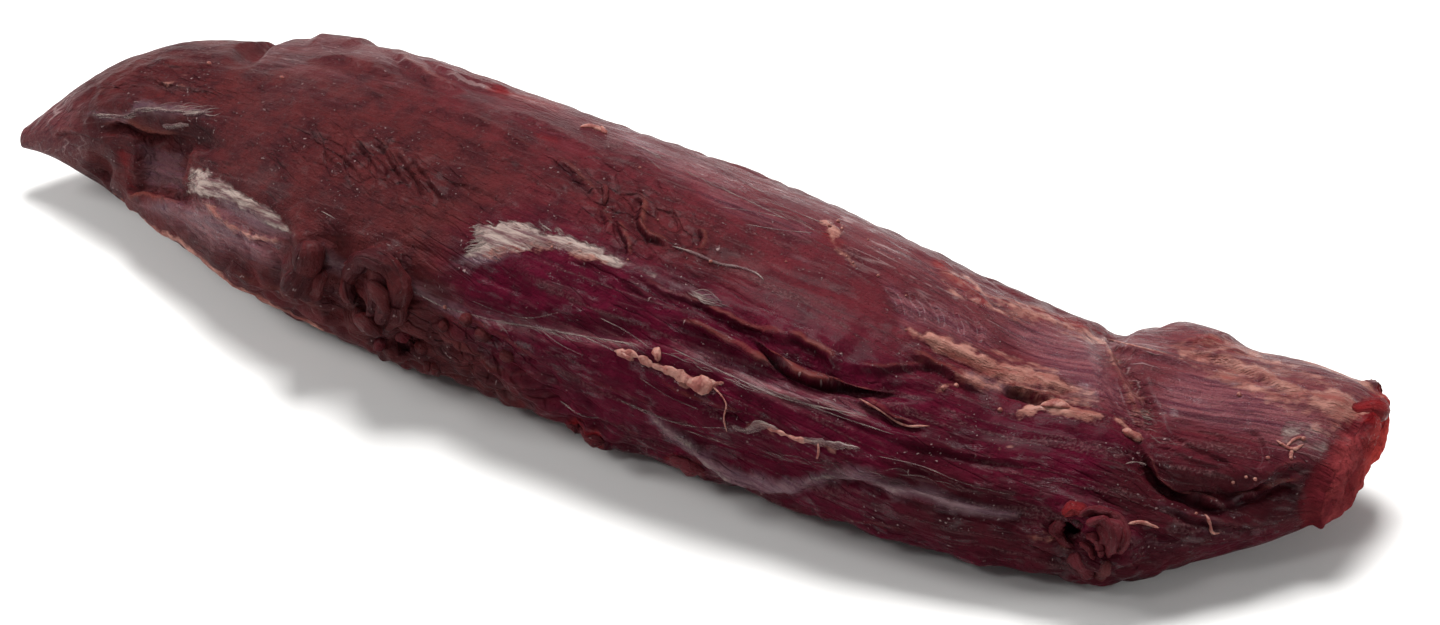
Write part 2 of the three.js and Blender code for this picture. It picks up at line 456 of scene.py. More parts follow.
MARKS = (
    # Thin end
    Mark("sheen line", V, (
        (90, 113), (110, 115), (127, 117), (136, 110), (170, 111), (207, 112)
    ), 0.8, 0.25, 0.9),
    Mark("pale vein one", F, ((140, 70), (152, 79), (166, 84), (186, 88)), 0.3, 0.15, 0.5),
    Mark("pale vein three", F, ((150, 64), (168, 70), (190, 74), (212, 76)), 0.25, 0.1, 0.46),
    Mark("pale vein four", F, ((96, 96), (112, 90), (124, 86), (136, 84)), 0.25, 0.1, 0.46),
    Mark("pale vein two", M, ((118, 87), (124, 84), (132, 80)), 0.4, 0.15, 0.8),
    # Painted highlights: long soft pink streaks of sheen along the top, in the membrane tone
    Mark("long painted highlight one", M, ((240, 60), (290, 66), (340, 76), (420, 92)), 1.6, 0.1, 0.6),
    Mark("long painted highlight two", M, ((262, 84), (310, 94), (360, 108)), 1.4, 0.1, 0.5),
    Mark("long painted highlight three", M, ((420, 70), (470, 92), (530, 122), (600, 150)), 1.8, 0.1, 0.55),
    # Painted shade in the cleft's hollow
    Mark("cleft hollow", C, ((188, 139), (196, 143), (204, 143)), 0.5, -0.5, 0.8),
    Mark("hollow wall", R, ((122, 146), (124, 160), (128, 178), (134, 190)), 1.6, -0.4, 0.55),
    # Painted shade along the lip's line
    Mark("lip line", C, ((134, 193), (150, 193), (168, 198), (184, 204)), 0.35, -0.4),
    Mark("lip gleam", V, ((150, 206), (186, 212), (210, 222), (244, 244), (270, 256)), 1.6, 0.0, 0.55),
    Mark("lip membrane", M, (
        (140, 203), (187, 202), (211, 196), (254, 214), (288, 236), (280, 270), (251, 262), (211, 248),
        (176, 226)
    ), patch=True),
    Mark("lip fold", R, ((178, 206), (196, 200), (212, 200), (232, 206)), 0.7, 0.3, 0.5),
    # Painted shade in the two gaps under the lip
    Mark("lip dark gap", C, ((190, 206), (204, 212), (222, 224), (246, 240), (268, 248)), 0.3, -0.4, 0.8),
    Mark("lip low gap", C, ((232, 222), (252, 232), (270, 240), (284, 246)), 0.25, -0.4, 0.8),
    Mark("lip rim", F, (
        (22, 204), (28, 203), (36, 196), (45, 194), (57, 201), (66, 212), (78, 216)
    ), 1.5, 0.35, 0.68, on_body=True),
    Mark("left silverskin lower veil", V, (
        (214, 192), (236, 200), (256, 211), (276, 223), (292, 236), (276, 238), (250, 226), (222, 208)
    ), patch=True, strength=0.95),
    Mark("left silverskin", S, (
        (193, 170), (200, 167), (214, 177), (233, 187), (251, 198), (269, 208), (288, 226), (294, 234),
        (275, 229), (254, 213), (236, 204), (214, 198), (188, 193), (192, 184)
    ), 0.0, 0.25, patch=True),
    Mark("pink line", F, (
        (203, 203), (210, 209), (220, 218), (232, 227), (242, 232), (263, 238), (282, 241)
    ), 0.5, 0.35, 0.9),
    Mark("scaly shoulder", Q, (
        (300, 120), (346, 128), (400, 140), (446, 190), (441, 208), (396, 196), (340, 184), (290, 150)
    ), patch=True),
    Mark("scaly left end", Q, (
        (40, 128), (96, 70), (150, 52), (200, 60), (230, 96), (180, 104), (100, 108)
    ), patch=True, strength=0.5),
    Mark("pocket floor", M, ((134, 136), (186, 150), (192, 196), (140, 190)), patch=True, strength=0.55),
    Mark("pocket floor veil", V, (
        (138, 140), (184, 152), (190, 192), (144, 188)
    ), patch=True, strength=0.62),
    Mark("pocket floor scales", Q, (
        (134, 136), (186, 150), (192, 196), (140, 190)
    ), patch=True, strength=0.6),

    # Rolls and the crumbly edge
    Mark("grey gap between the rolls", V, ((314, 250), (330, 262), (346, 272)), 1.5, 0.0, 0.85),
    # Painted shade in the hole
    Mark("dark hole", C, ((392, 340), (400, 346), (407, 352)), 1.2, -1.0),
    Mark("web line", M, ((386, 272), (413, 286), (450, 309), (497, 321), (552, 331), (640, 345)), 1.2, 0.0),
    Mark("web veil", V, ((388, 276), (410, 286), (436, 302), (470, 316)), 1.2, 0.0, 0.7),
    Mark("web veil two", V, ((480, 318), (520, 326), (560, 333)), 0.6, 0.0, 0.6),
    Mark("crumbly edge", Q, (
        (330, 290), (420, 300), (520, 340), (560, 380), (600, 440), (500, 400), (380, 352)
    ), patch=True, strength=0.8),

    # Silverskin on the near flank
    Mark("flank silverskin", S, (
        (474, 224), (490, 226), (502, 221), (526, 223), (542, 232), (566, 235), (582, 243), (600, 249),
        (626, 263), (618, 268), (600, 260), (582, 254), (554, 248), (533, 248), (514, 254), (496, 257),
        (484, 259), (468, 255), (478, 243), (476, 232)
    ), 0.0, 0.2, patch=True),
    Mark("flank silverskin violet end", V, (
        (453, 263), (466, 255), (480, 252), (500, 256), (520, 256), (500, 262), (478, 266)
    ), patch=True),
    Mark("flank silverskin warm edge", F, (
        (486, 256), (512, 253), (534, 246), (556, 247), (584, 253)
    ), 1.5, 0.0, 0.42),
    Mark("orange edge", F, (
        (500, 256), (516, 252), (534, 249), (556, 250), (584, 256), (606, 263)
    ), 0.7, 0.0, 0.56),
    Mark("translucent strip", V, (
        (604, 256), (624, 262), (648, 272), (668, 282), (700, 294), (728, 305)
    ), 1.3, 0.2, 0.5),
    Mark("translucent strip core", S, ((600, 254), (616, 260), (634, 267), (656, 277)), 0.4, 0.1, 0.66),
    Mark("translucent strip end", V, ((668, 284), (690, 290), (710, 300), (722, 303)), 0.5, 0.2, 0.8),
    Mark("translucent lobe", M, ((630, 268), (650, 282), (680, 296), (716, 304)), 2.0, 0.0, 0.5),

    # Torn area
    Mark("torn skin", Q, (
        (560, 170), (620, 160), (700, 215), (720, 250), (640, 262), (590, 230)
    ), patch=True, strength=0.9),

    # Top of the flank
    Mark("bright rim", R, ((490, 90), (530, 100), (563, 110)), 1.2, 0.0, 0.8),
    Mark("red spot", R, ((537, 134), (548, 138), (560, 140)), 0.9, 0.1, 0.8),
    Mark("top fascia one", M, ((620, 130), (661, 158), (740, 190)), 1.6, 0.0),
    Mark("top fascia two", M, ((700, 190), (760, 215), (814, 235)), 1.4, 0.0),
    Mark("fuzzy patch", V, ((786, 252), (800, 257), (811, 264)), 0.5, 0.1, 0.55),
    Mark("fat cluster", F, ((824, 224), (832, 230), (842, 232)), 0.9, 0.6, 0.8),
    Mark("fat cluster stem", F, ((830, 232), (832, 240), (842, 254), (852, 264)), 0.35, 0.3, 0.8),
    Mark("fat cluster red", R, ((822, 232), (834, 242), (846, 244)), 0.8, 0.1, 0.8),
    Mark("red ridge one", R, ((935, 262), (952, 276), (970, 291), (988, 306)), 0.9, 0.5),
    Mark("red ridge two", R, ((1004, 300), (1040, 316), (1060, 318), (1102, 333)), 0.7, 0.4),
    Mark("ridge fat one", F, ((965, 276), (974, 284), (980, 292)), 0.7, 0.4, 0.8),
    Mark("ridge fat two", F, ((942, 286), (962, 297), (985, 306), (1006, 314)), 0.45, 0.3, 0.75),
    Mark("ridge fat three", F, ((1010, 306), (1048, 320), (1085, 332), (1104, 346)), 0.5, 0.3, 0.8),
    Mark("sheen rib one", V, ((890, 288), (897, 312)), 0.35, 0.15, 0.6),
    Mark("sheen rib two", V, ((906, 292), (911, 318)), 0.3, 0.15, 0.62),
    Mark("sheen rib three", V, ((920, 300), (926, 326)), 0.4, 0.15, 0.6),
    Mark("sheen rib four", V, ((936, 304), (941, 334)), 0.3, 0.15, 0.66),
    Mark("sheen rib five", V, ((951, 312), (955, 338)), 0.35, 0.15, 0.6),
    Mark("sheen rib six", V, ((968, 318), (971, 342)), 0.3, 0.15, 0.62),
    Mark("sheen rib seven", V, ((984, 326), (985, 346)), 0.3, 0.15, 0.6),
    Mark("wrinkled membrane", M, (
        (880, 276), (905, 290), (930, 300), (960, 312), (990, 330), (1000, 348), (960, 346), (930, 330),
        (900, 328)
    ), patch=True),
    Mark("grey membrane", M, (
        (1000, 325), (1040, 320), (1090, 338), (1108, 362), (1128, 400), (1135, 425), (1110, 410),
        (1080, 396), (1040, 372), (1015, 350)
    ), patch=True),

    # Layers of the near flank
    Mark("layer edge", R, ((770, 345), (790, 362), (815, 375), (846, 386)), 0.7, 0.3, 0.7),
    Mark("violet band", M, (
        (672, 345), (723, 363), (764, 386), (805, 400), (850, 408), (880, 418)
    ), 1.5, 0.15),
    Mark("fat strip one end", F, ((682, 380), (700, 385), (716, 385)), 0.6, 0.2),
    Mark("fat strip two haze", F, (
        (732, 427), (762, 427), (793, 439), (835, 446), (860, 449)
    ), 1.1, 0.1, 0.46),
    Mark("sheet edge", V, (
        (650, 414), (682, 441), (707, 459), (731, 474), (759, 481), (799, 485), (820, 478), (842, 473),
        (866, 474), (897, 491), (927, 493), (952, 504), (1016, 516)
    ), 1.2, 0.5, 1.0),
    Mark("sheet membrane", M, (
        (690, 450), (731, 470), (799, 482), (842, 472), (890, 486), (930, 492), (1010, 516), (960, 524),
        (880, 508), (800, 496), (730, 484)
    ), patch=True, strength=0.5),
    Mark("sheet edge core", S, ((655, 418), (684, 442), (708, 460), (732, 475)), 0.5, 0.2, 0.74),
    Mark("sheet edge core two", S, (
        (799, 485), (842, 473), (868, 475), (897, 491), (930, 493)
    ), 0.5, 0.2, 0.72),
    Mark("low red bump", R, ((570, 425), (584, 438), (600, 444)), 1.2, 0.2),
    Mark("low red bump two", R, ((668, 460), (684, 468), (702, 474)), 1.2, 0.2),

    # Fat above the waist
    Mark("big fat band", F, (
        (924, 338), (944, 346), (974, 362), (1005, 372), (1035, 379), (1064, 387)
    ), 1.3, 0.45, 0.92),
    Mark("big fat band crest", F, ((930, 339), (950, 346), (968, 356), (990, 362)), 0.5, 0.5),
    Mark("big fat band root", F, ((906, 330), (920, 335), (940, 344)), 0.5, 0.2, 0.8),
    Mark("big fat band upper edge", F, (
        (931, 337), (959, 346), (993, 352), (1023, 364), (1057, 372)
    ), 0.5, 0.3, 0.75),
    Mark("translucent part", V, ((966, 374), (986, 384), (1006, 390)), 1.3, 0.2, 0.8),
    Mark("band crumbs one", F, ((938, 390), (946, 385), (958, 385)), 0.5, 0.3, 0.62),
    # Painted shade in the hollow under the fat
    Mark("dark hollow", C, ((1004, 394), (1022, 396), (1042, 404)), 0.7, -0.8, 0.8),
    Mark("second fat", F, ((1020, 413), (1042, 406), (1066, 410), (1100, 418)), 0.95, 0.6),
    Mark("seam fat", F, ((1116, 420), (1130, 432), (1142, 438)), 0.9, 0.5, 0.8),

    # Waist seam and lobe
    Mark("seam ridge", M, ((1100, 331), (1109, 355), (1124, 383), (1140, 410), (1143, 435)), 0.9, 0.5),
    Mark("seam ridge fat", F, (
        (1100, 333), (1108, 356), (1122, 384), (1138, 412), (1142, 434)
    ), 0.45, 0.3, 0.66),
    Mark("lobe fat haze", F, (
        (1180, 350), (1230, 362), (1280, 384), (1330, 400), (1366, 404)
    ), 4.0, 0.1, 0.45),
    Mark("lobe end haze", F, ((1262, 392), (1300, 404), (1324, 416), (1330, 436)), 3.0, 0.0, 0.46),
    Mark("band haze", F, ((950, 366), (984, 380), (1020, 388), (1060, 394), (1104, 400)), 2.4, 0.0, 0.46),
    Mark("ridge haze", F, ((930, 268), (980, 296), (1040, 318), (1100, 342)), 2.0, 0.1, 0.40),
    Mark("seam haze", F, ((1106, 352), (1124, 384), (1140, 414), (1142, 436)), 1.8, 0.3, 0.42),
    Mark("lobe fat shoulder", F, ((1168, 348), (1190, 354), (1228, 364), (1262, 378)), 1.2, 0.3, 0.6),
    Mark("lobe red spot", R, ((1190, 342), (1214, 345), (1240, 354)), 1.2, 0.3),
    Mark("lobe fat ridge", F, (
        (1251, 368), (1274, 382), (1304, 394), (1330, 400), (1352, 404)
    ), 1.2, 0.45, 0.7),
    Mark("lobe end fat", F, (
        (1300, 388), (1336, 386), (1356, 396), (1380, 404), (1364, 416), (1340, 424), (1322, 418),
        (1306, 404)
    ), 0.0, 0.35, 0.64, patch=True),
    Mark("lobe silverskin", S, (
        (1270, 432), (1284, 420), (1312, 412), (1336, 420), (1336, 446), (1322, 458), (1298, 452),
        (1278, 446)
    ), 0.0, 0.15, 0.47, patch=True),
    Mark("fold glint one", V, ((1158, 504), (1186, 516), (1216, 523)), 0.25, 0.1, 0.62),
    Mark("fold glint two", V, ((1232, 505), (1256, 496), (1284, 484)), 0.25, 0.1, 0.62),
    Mark("fold glint three", V, ((1196, 529), (1236, 533), (1270, 527)), 0.25, 0.1, 0.6),
    Mark("fold glint four", V, ((1130, 536), (1160, 545), (1196, 547)), 0.25, 0.1, 0.6),
    Mark("lobe membrane", M, (
        (1150, 390), (1180, 368), (1220, 372), (1260, 384), (1310, 404), (1330, 430), (1330, 455),
        (1290, 452), (1250, 440), (1200, 430), (1160, 420)
    ), patch=True),
    Mark("far nub fat", F, ((218, 26), (226, 18), (233, 12)), 2.6, 0.0, 0.62, on_body=True),
    Mark("corner fat", F, ((222, 36), (229, 31), (236, 28)), 2.4, 0.0, 0.6, on_body=True),
    Mark("far nub red", R, ((233, 0), (236, 8), (236, 18)), 2.6, 0.0, on_body=True),
    Mark("nub red", R, ((1366, 420), (1380, 412), (1392, 410)), 1.2, 0.0),

    # Curled scrap low down
    # Painted shade in the curl's hole
    Mark("curl hole", C, ((1070, 527), (1080, 527)), 1.0, -1.2),
    Mark("curl low fat", F, ((1026, 534), (1044, 537), (1066, 544)), 0.6, 0.3, 0.66),
    Mark("grey spot", S, ((1061, 474), (1078, 471)), 0.5, 0.1, 0.6),
    Mark("tan spot", F, ((998, 450), (1010, 446), (1021, 446)), 0.3, 0.1, 0.6),

    # Far side and underside, guessed in the same manner as the near side
    Mark("far silverskin", S, (
        (72, 12), (84, 2), (104, -6), (128, -8), (150, -2), (160, 6), (140, 6), (118, 2), (96, 6), (84, 14)
    ), 0.0, 0.2, 0.9, patch=True, on_body=True),
    Mark("far silverskin veil", V, ((84, 16), (110, 8), (140, 10), (172, 8)), 2.6, 0.1, 0.8, on_body=True),
    Mark("far silverskin tail", M, ((150, 4), (172, 2), (190, -6)), 3.0, 0.0, on_body=True),
    Mark("far fat strip", F, ((60, -30), (74, -24), (88, -27), (104, -24)), 1.0, 0.6, 0.9, on_body=True),
    Mark("far fat strip two", F, (
        (116, -27), (132, -33), (150, -32), (168, -38)
    ), 0.8, 0.6, 0.85, on_body=True),
    Mark("far fat haze", F, ((60, -28), (100, -26), (140, -32), (176, -38)), 3.4, 0.0, 0.38, on_body=True),
    Mark("far fat branch", F, ((118, -27), (134, -14), (154, -10)), 0.5, 0.4, 0.8, on_body=True),
    Mark("far seam fat", F, ((190, 20), (188, -4), (187, -26)), 1.0, 0.5, 0.8, on_body=True),
    Mark("far membrane", M, ((30, 30), (52, 16), (84, 26)), 6.0, 0.0, on_body=True),
    Mark("far lobe membrane", M, ((200, 8), (214, -6), (228, -10)), 6.0, 0.0, on_body=True),
    Mark("far lobe fat", F, ((204, 20), (216, 10), (228, 2)), 1.2, 0.5, 0.8, on_body=True),
    Mark("far scaly end", Q, ((20, 30), (40, -10), (60, -10)), 12.0, 0.0, 0.8, on_body=True),
    Mark("under fat strip", F, ((40, -70), (90, -62), (140, -66), (190, -60)), 0.8, 0.0, 0.8, on_body=True),
    Mark("under membrane", M, ((30, -90), (90, -95), (150, -88), (200, -80)), 9.0, 0.0, on_body=True),
    Mark("near under fat", F, ((70, 226), (100, 229), (140, 226), (176, 229)), 0.6, 0.0, 0.8, on_body=True),
)

LEDGES = (
    # Thin end
    Ledge("tip cleft", ((50, 138), (62, 133), (84, 132)), 1.8, 0.5),
    Ledge("ridge over the pocket", (
        (96, 131), (112, 125), (124, 121), (138, 125), (150, 131), (172, 133), (194, 138)
    ), 2.6, 0.8, 0.75),
    Ledge("lip over the pocket", (
        (190, 204), (168, 199), (150, 193), (134, 193), (122, 188)
    ), 2.6, 0.95, 0.9),
    Ledge("tip wrinkle one", ((66, 112), (82, 98), (100, 86)), 1.4, 0.3, 0.3),
    Ledge("tip wrinkle two", ((92, 102), (110, 90), (132, 80)), 1.4, 0.3, 0.3),
    Ledge("top wrinkle one", ((140, 74), (156, 82), (184, 88), (214, 90)), 1.6, 0.3, 0.3),
    Ledge("top wrinkle two", ((150, 62), (184, 68), (214, 66)), 1.4, 0.3, 0.3),
    Ledge("lip dark line", ((242, 243), (262, 253), (279, 263)), 1.2, 0.35, 0.5),
    Ledge("lip low line", ((214, 262), (250, 285), (300, 304), (340, 326)), 1.6, 0.5, 0.6),

    # Scaly shoulder and the top wrinkles
    Ledge("flake one", ((350, 138), (364, 150), (378, 168), (388, 178)), 1.5, 0.45, 0.35),
    Ledge("flake two", ((370, 138), (388, 154), (400, 174), (408, 184)), 1.5, 0.5, 0.4),
    Ledge("flake three", ((390, 148), (406, 164), (418, 182), (426, 194)), 1.5, 0.5, 0.4),
    Ledge("flake four", ((408, 156), (424, 172), (436, 190), (446, 204)), 1.5, 0.45, 0.35),
    Ledge("flake five", ((336, 152), (352, 166), (366, 184)), 1.4, 0.35, 0.4),
    Ledge("flake six", ((318, 146), (334, 160), (346, 178)), 1.4, 0.3, 0.3),
    Ledge("top fold one", ((383, 49), (404, 64), (438, 83), (470, 92)), 2.2, 0.6, 0.6),
    Ledge("top fold two", ((419, 58), (441, 73), (480, 84), (520, 98)), 2.0, 0.5, 0.5),
    Ledge("top fold three", ((300, 60), (330, 58), (372, 68), (404, 84)), 2.0, 0.35, 0.2),
    Ledge("slant crease one", ((452, 112), (486, 126), (530, 152), (560, 168)), 1.8, 0.35, 0.3),
    Ledge("slant crease two", ((470, 142), (500, 156), (536, 180), (560, 198)), 1.8, 0.3, 0.3),
    Ledge("slant crease three", ((500, 108), (540, 124), (580, 146), (606, 158)), 1.8, 0.35, 0.3),
    Ledge("slant crease four", ((440, 176), (480, 190), (520, 210)), 1.8, 0.3, 0.25),

    # Torn area
    Ledge("tear one", ((542, 158), (563, 168), (580, 180), (592, 192), (600, 206)), 1.6, 0.5, 0.8),
    Ledge("tear two", (
        (628, 190), (643, 204), (638, 220), (646, 235), (664, 244), (667, 256)
    ), 1.6, 0.7, 0.9),
    Ledge("tear three", ((612, 222), (622, 234), (627, 246), (624, 260)), 1.4, 0.6, 0.9),
    Ledge("tear four", ((695, 228), (702, 240), (693, 252)), 1.4, 0.6, 0.8),
    Ledge("tear five", ((598, 206), (606, 220), (604, 238)), 1.3, 0.5, 0.7),
    Ledge("tear six", ((664, 206), (676, 218), (680, 234)), 1.3, 0.4, 0.6),
    Ledge("tear seven", ((570, 152), (594, 158), (616, 168), (632, 182)), 1.3, 0.3, 0.4),
    Ledge("tear eight", ((650, 182), (668, 192), (690, 206)), 1.3, 0.3, 0.4),

    # Near the silverskin on the flank
    Ledge("sheet under the silverskin", ((560, 256), (590, 264), (640, 292), (672, 312)), 2.2, 0.25, 0.1),
    Ledge("strip lower edge", ((630, 272), (666, 294), (700, 304), (726, 310)), 1.5, 0.4, 0.5),

    # Layers of the near flank
    Ledge("layer one", ((690, 300), (716, 314), (744, 326), (772, 334), (800, 346)), 2.6, 0.7, 0.5),
    Ledge("layer two", ((668, 318), (700, 330), (730, 345), (756, 360), (782, 378)), 2.6, 0.7, 0.6),
    Ledge("upper crevice", (
        (744, 336), (774, 357), (793, 376), (820, 385), (854, 388), (881, 394), (905, 397)
    ), 3.4, 1.3, 1.0),
    Ledge("short crevice", ((780, 334), (803, 344), (823, 355), (839, 368)), 2.4, 0.8, 0.9),
    Ledge("layer three", ((854, 400), (884, 412), (906, 426), (930, 430)), 2.2, 0.7, 0.8),
    Ledge("layer four", ((760, 388), (800, 402), (840, 416), (895, 436)), 2.0, 0.5, 0.6),
    Ledge("layer five", ((900, 352), (936, 368), (960, 380), (990, 396)), 2.2, 0.7, 0.45),
    Ledge("layer six", ((846, 366), (884, 372), (920, 366), (944, 360)), 2.0, 0.5, 0.5),
    Ledge("layer seven", ((880, 436), (930, 448), (980, 458), (1040, 466)), 2.0, 0.4, 0.5),
    Ledge("layer eight", ((640, 372), (676, 392), (716, 408), (760, 414)), 2.0, 0.45, 0.4),
    Ledge("layer nine", ((560, 366), (600, 386), (640, 402), (672, 424)), 2.0, 0.45, 0.4),
    Ledge("layer ten", ((868, 456), (927, 470), (972, 484), (1020, 498)), 1.8, 0.35, 0.4),
    Ledge("layer eleven", ((780, 452), (830, 460), (870, 462)), 1.8, 0.35, 0.4),
    Ledge("under the sheet", (
        (655, 421), (682, 443), (707, 462), (731, 477), (799, 488), (842, 477), (900, 496), (952, 508),
        (1016, 520)
    ), 1.8, 0.5, 0.8),
    Ledge("low front seam", ((700, 486), (760, 502), (830, 516), (900, 530), (960, 548)), 2.0, 0.5, 0.5),
    Ledge("crumbly line one", ((440, 312), (478, 326), (520, 350), (552, 372)), 1.8, 0.5, 0.5),
    Ledge("crumbly line two", ((420, 330), (458, 350), (500, 372), (540, 400)), 1.8, 0.5, 0.5),
    Ledge("crumbly line three", ((540, 392), (584, 416), (620, 428), (660, 446)), 1.8, 0.45, 0.5),

    # Above and in the waist seam
    Ledge("wrinkle rib one", ((884, 284), (898, 300), (906, 322)), 1.2, 0.35, 0.3),
    Ledge("wrinkle rib two", ((906, 290), (920, 306), (926, 326)), 1.2, 0.35, 0.3),
    Ledge("wrinkle rib three", ((928, 298), (940, 314), (944, 332)), 1.2, 0.35, 0.3),
    Ledge("wrinkle rib four", ((950, 306), (960, 322), (962, 340)), 1.2, 0.35, 0.3),
    Ledge("wrinkle rib five", ((972, 314), (980, 330), (980, 346)), 1.2, 0.35, 0.3),
    Ledge("hollow under the fat", ((1000, 388), (1022, 391), (1042, 399), (1060, 404)), 2.0, 0.9, 0.6),
    Ledge("body over the seam", (
        (1143, 440), (1141, 412), (1126, 383), (1111, 355), (1101, 331)
    ), 2.4, 0.7, 0.6),
    Ledge("lobe over the seam", (
        (1142, 438), (1147, 462), (1162, 482), (1187, 497), (1214, 508), (1236, 502)
    ), 3.0, 1.3, 1.0),
    Ledge("lobe wrinkle one", ((1156, 427), (1193, 448), (1229, 464), (1245, 476)), 1.2, 0.3, 0.4),
    Ledge("lobe wrinkle two", ((1150, 440), (1188, 458), (1226, 472)), 1.2, 0.25, 0.3),
    Ledge("lobe wrinkle three", ((1166, 414), (1200, 428), (1236, 444)), 1.2, 0.25, 0.3),
    Ledge("lobe loop", ((1240, 430), (1254, 434), (1265, 450), (1264, 464), (1251, 474)), 1.2, 0.4, 0.5),
    Ledge("lobe fold", ((1220, 509), (1251, 496), (1284, 481), (1312, 489)), 2.8, 1.0, 0.9),
    Ledge("lobe fold two", ((1228, 490), (1260, 478), (1290, 466), (1316, 466)), 2.0, 0.6, 0.6),
    Ledge("lobe top fold", ((1104, 344), (1131, 351), (1168, 360), (1196, 374)), 1.8, 0.4, 0.3),
    Ledge("lobe shoulder fold", ((1180, 352), (1226, 362), (1251, 374), (1291, 392)), 2.0, 0.5, 0.3),
    Ledge("low lobe fold one", ((1150, 500), (1184, 516), (1230, 526), (1290, 522)), 2.2, 0.6, 0.7),
    Ledge("low lobe fold two", ((1130, 520), (1170, 536), (1220, 542), (1270, 534)), 2.0, 0.5, 0.6),
    Ledge("heel fold", ((1010, 532), (1040, 546), (1066, 560)), 2.0, 0.6, 0.6),

    # Far side
    Ledge("far layer one", (
        (184, -34), (158, -30), (124, -20), (88, -15), (58, -22)
    ), 3.0, 0.9, 0.8, on_body=True),
    Ledge("far layer two", ((190, 6), (166, 2), (146, 12), (120, 18)), 2.6, 0.7, 0.6, on_body=True),
    Ledge("far layer three", ((110, -50), (150, -56), (190, -50)), 2.4, 0.6, 0.6, on_body=True),
    Ledge("far layer four", ((40, 10), (64, 18), (96, 30)), 2.4, 0.5, 0.5, on_body=True),
    Ledge("far lobe layer", ((226, -8), (212, -14), (200, -8)), 2.6, 0.8, 0.7, on_body=True),
    Ledge("far tip layer", ((12, 20), (28, 4), (46, -8)), 2.2, 0.6, 0.6, on_body=True),
)


@dataclass(frozen=True)
class Wash:
    """A broad change of tone about a path of body places."""

    name: str
    path: Path
    reach: float
    strength: float = 1.0


WASHES = {
    "dry": (
        Wash("thin end", ((0, 110), (30, 120), (58, 130), (84, 140)), 34),
        Wash("thin end top", ((10, 60), (40, 70), (64, 90)), 26, 0.8),
        Wash("torn area", ((108, 100), (124, 104), (140, 112)), 12, 0.6),
        Wash("rolls", ((68, 176), (90, 182), (106, 176)), 16, 0.9),
        Wash("crumbly edge", ((84, 196), (104, 194), (124, 202)), 10, 0.9),
        Wash("far thin end", ((6, 0), (30, -20), (60, -20)), 26, 0.8),
    ),
    "deep": (
        Wash("near flank", ((112, 150), (130, 152), (160, 150), (190, 146), (206, 146)), 17),
        Wash("low flank", ((130, 190), (160, 192), (190, 186), (216, 176)), 20, 0.9),
        Wash("low lobe", ((214, 176), (228, 170)), 14, 0.8),
        Wash("far flank", ((90, -50), (130, -50), (180, -46)), 22, 0.9),
    ),
    # Pink: lean under thin fascia, and partly painted sheen along the tops
    "pink": (
        Wash("top ridge", ((40, 62), (70, 56), (100, 52), (130, 56)), 11, 0.5),
        Wash("top of the waist end", ((126, 58), (150, 60), (170, 64), (190, 70)), 10, 0.75),
        Wash("lobe top", ((200, 60), (214, 62), (230, 66)), 14, 0.9),
        Wash("tip", ((0, 150), (8, 150)), 9, 0.7),
        Wash("far top", ((60, 30), (110, 26), (160, 24)), 14, 0.5),
        Wash("lobe far side", ((204, 10), (220, 0), (232, 0)), 14, 0.6),
    ),
    "knobby": (
        Wash("crumbly edge", ((62, 190), (84, 194), (104, 194), (126, 204)), 11),
        Wash("near foot", ((24, 205), (50, 205), (80, 215)), 5, 0.5),
        Wash("low front foot", ((130, 214), (160, 212), (190, 212), (214, 208)), 6, 0.55),
        Wash("waist top", ((168, 52), (182, 52), (194, 50)), 5, 0.4),
        Wash("top rim", ((99, 39), (119, 39), (139, 43), (156, 37), (172, 43)), 4, 0.3),
        Wash("far foot", ((60, -52), (110, -60), (170, -62)), 10, 0.6),
        Wash("far waist", ((176, -30), (190, -10), (196, 14)), 8, 0.5),
    ),
    "dark": (
        Wash("shoulder shade", ((40, 128), (56, 128), (80, 126), (96, 120)), 10, 0.5),
        Wash("lower lobe", ((214, 140), (226, 150), (232, 160)), 9),
        Wash("waist foot", ((186, 170), (204, 186), (220, 196)), 12, 0.8),
        Wash("near edge", ((122, 206), (140, 206), (170, 205)), 9, 0.5),
        Wash("right flank shade", ((182, 136), (194, 142), (204, 150)), 8, 0.5),
    ),
}


# Strands and scraps that lie on the skin


class Stuff(Enum):
    """What a strand is made of; each stuff becomes one object with one finish."""

    LEAN = "lean_meat"
    FAT = "fat"
    SILVER = "silverskin"


@dataclass(frozen=True)
class Strand:
    """A strip, thread or rolled scrap on the skin, as a long blob along a path.

    Half width, half thickness and lift of its middle above the skin are in millimetres. The tone
    is the painted layer that a lean scrap shows.
    """

    name: str
    stuff: Stuff
    path: Path
    half_width: float
    half_thick: float
    lift: float = 0.0
    tone: str = "dry"
    lumps: float = 0.3
    blunt: float = 0.3


@dataclass(frozen=True)
class Fringe:
    """Many short hairs of torn tissue that start on a line and point one way, in view places."""

    name: str
    stuff: Stuff
    base: Path
    reach: Place
    count: int
    half_width: float = 0.09


LEAN, FAT, SILVER = Stuff.LEAN, Stuff.FAT, Stuff.SILVER

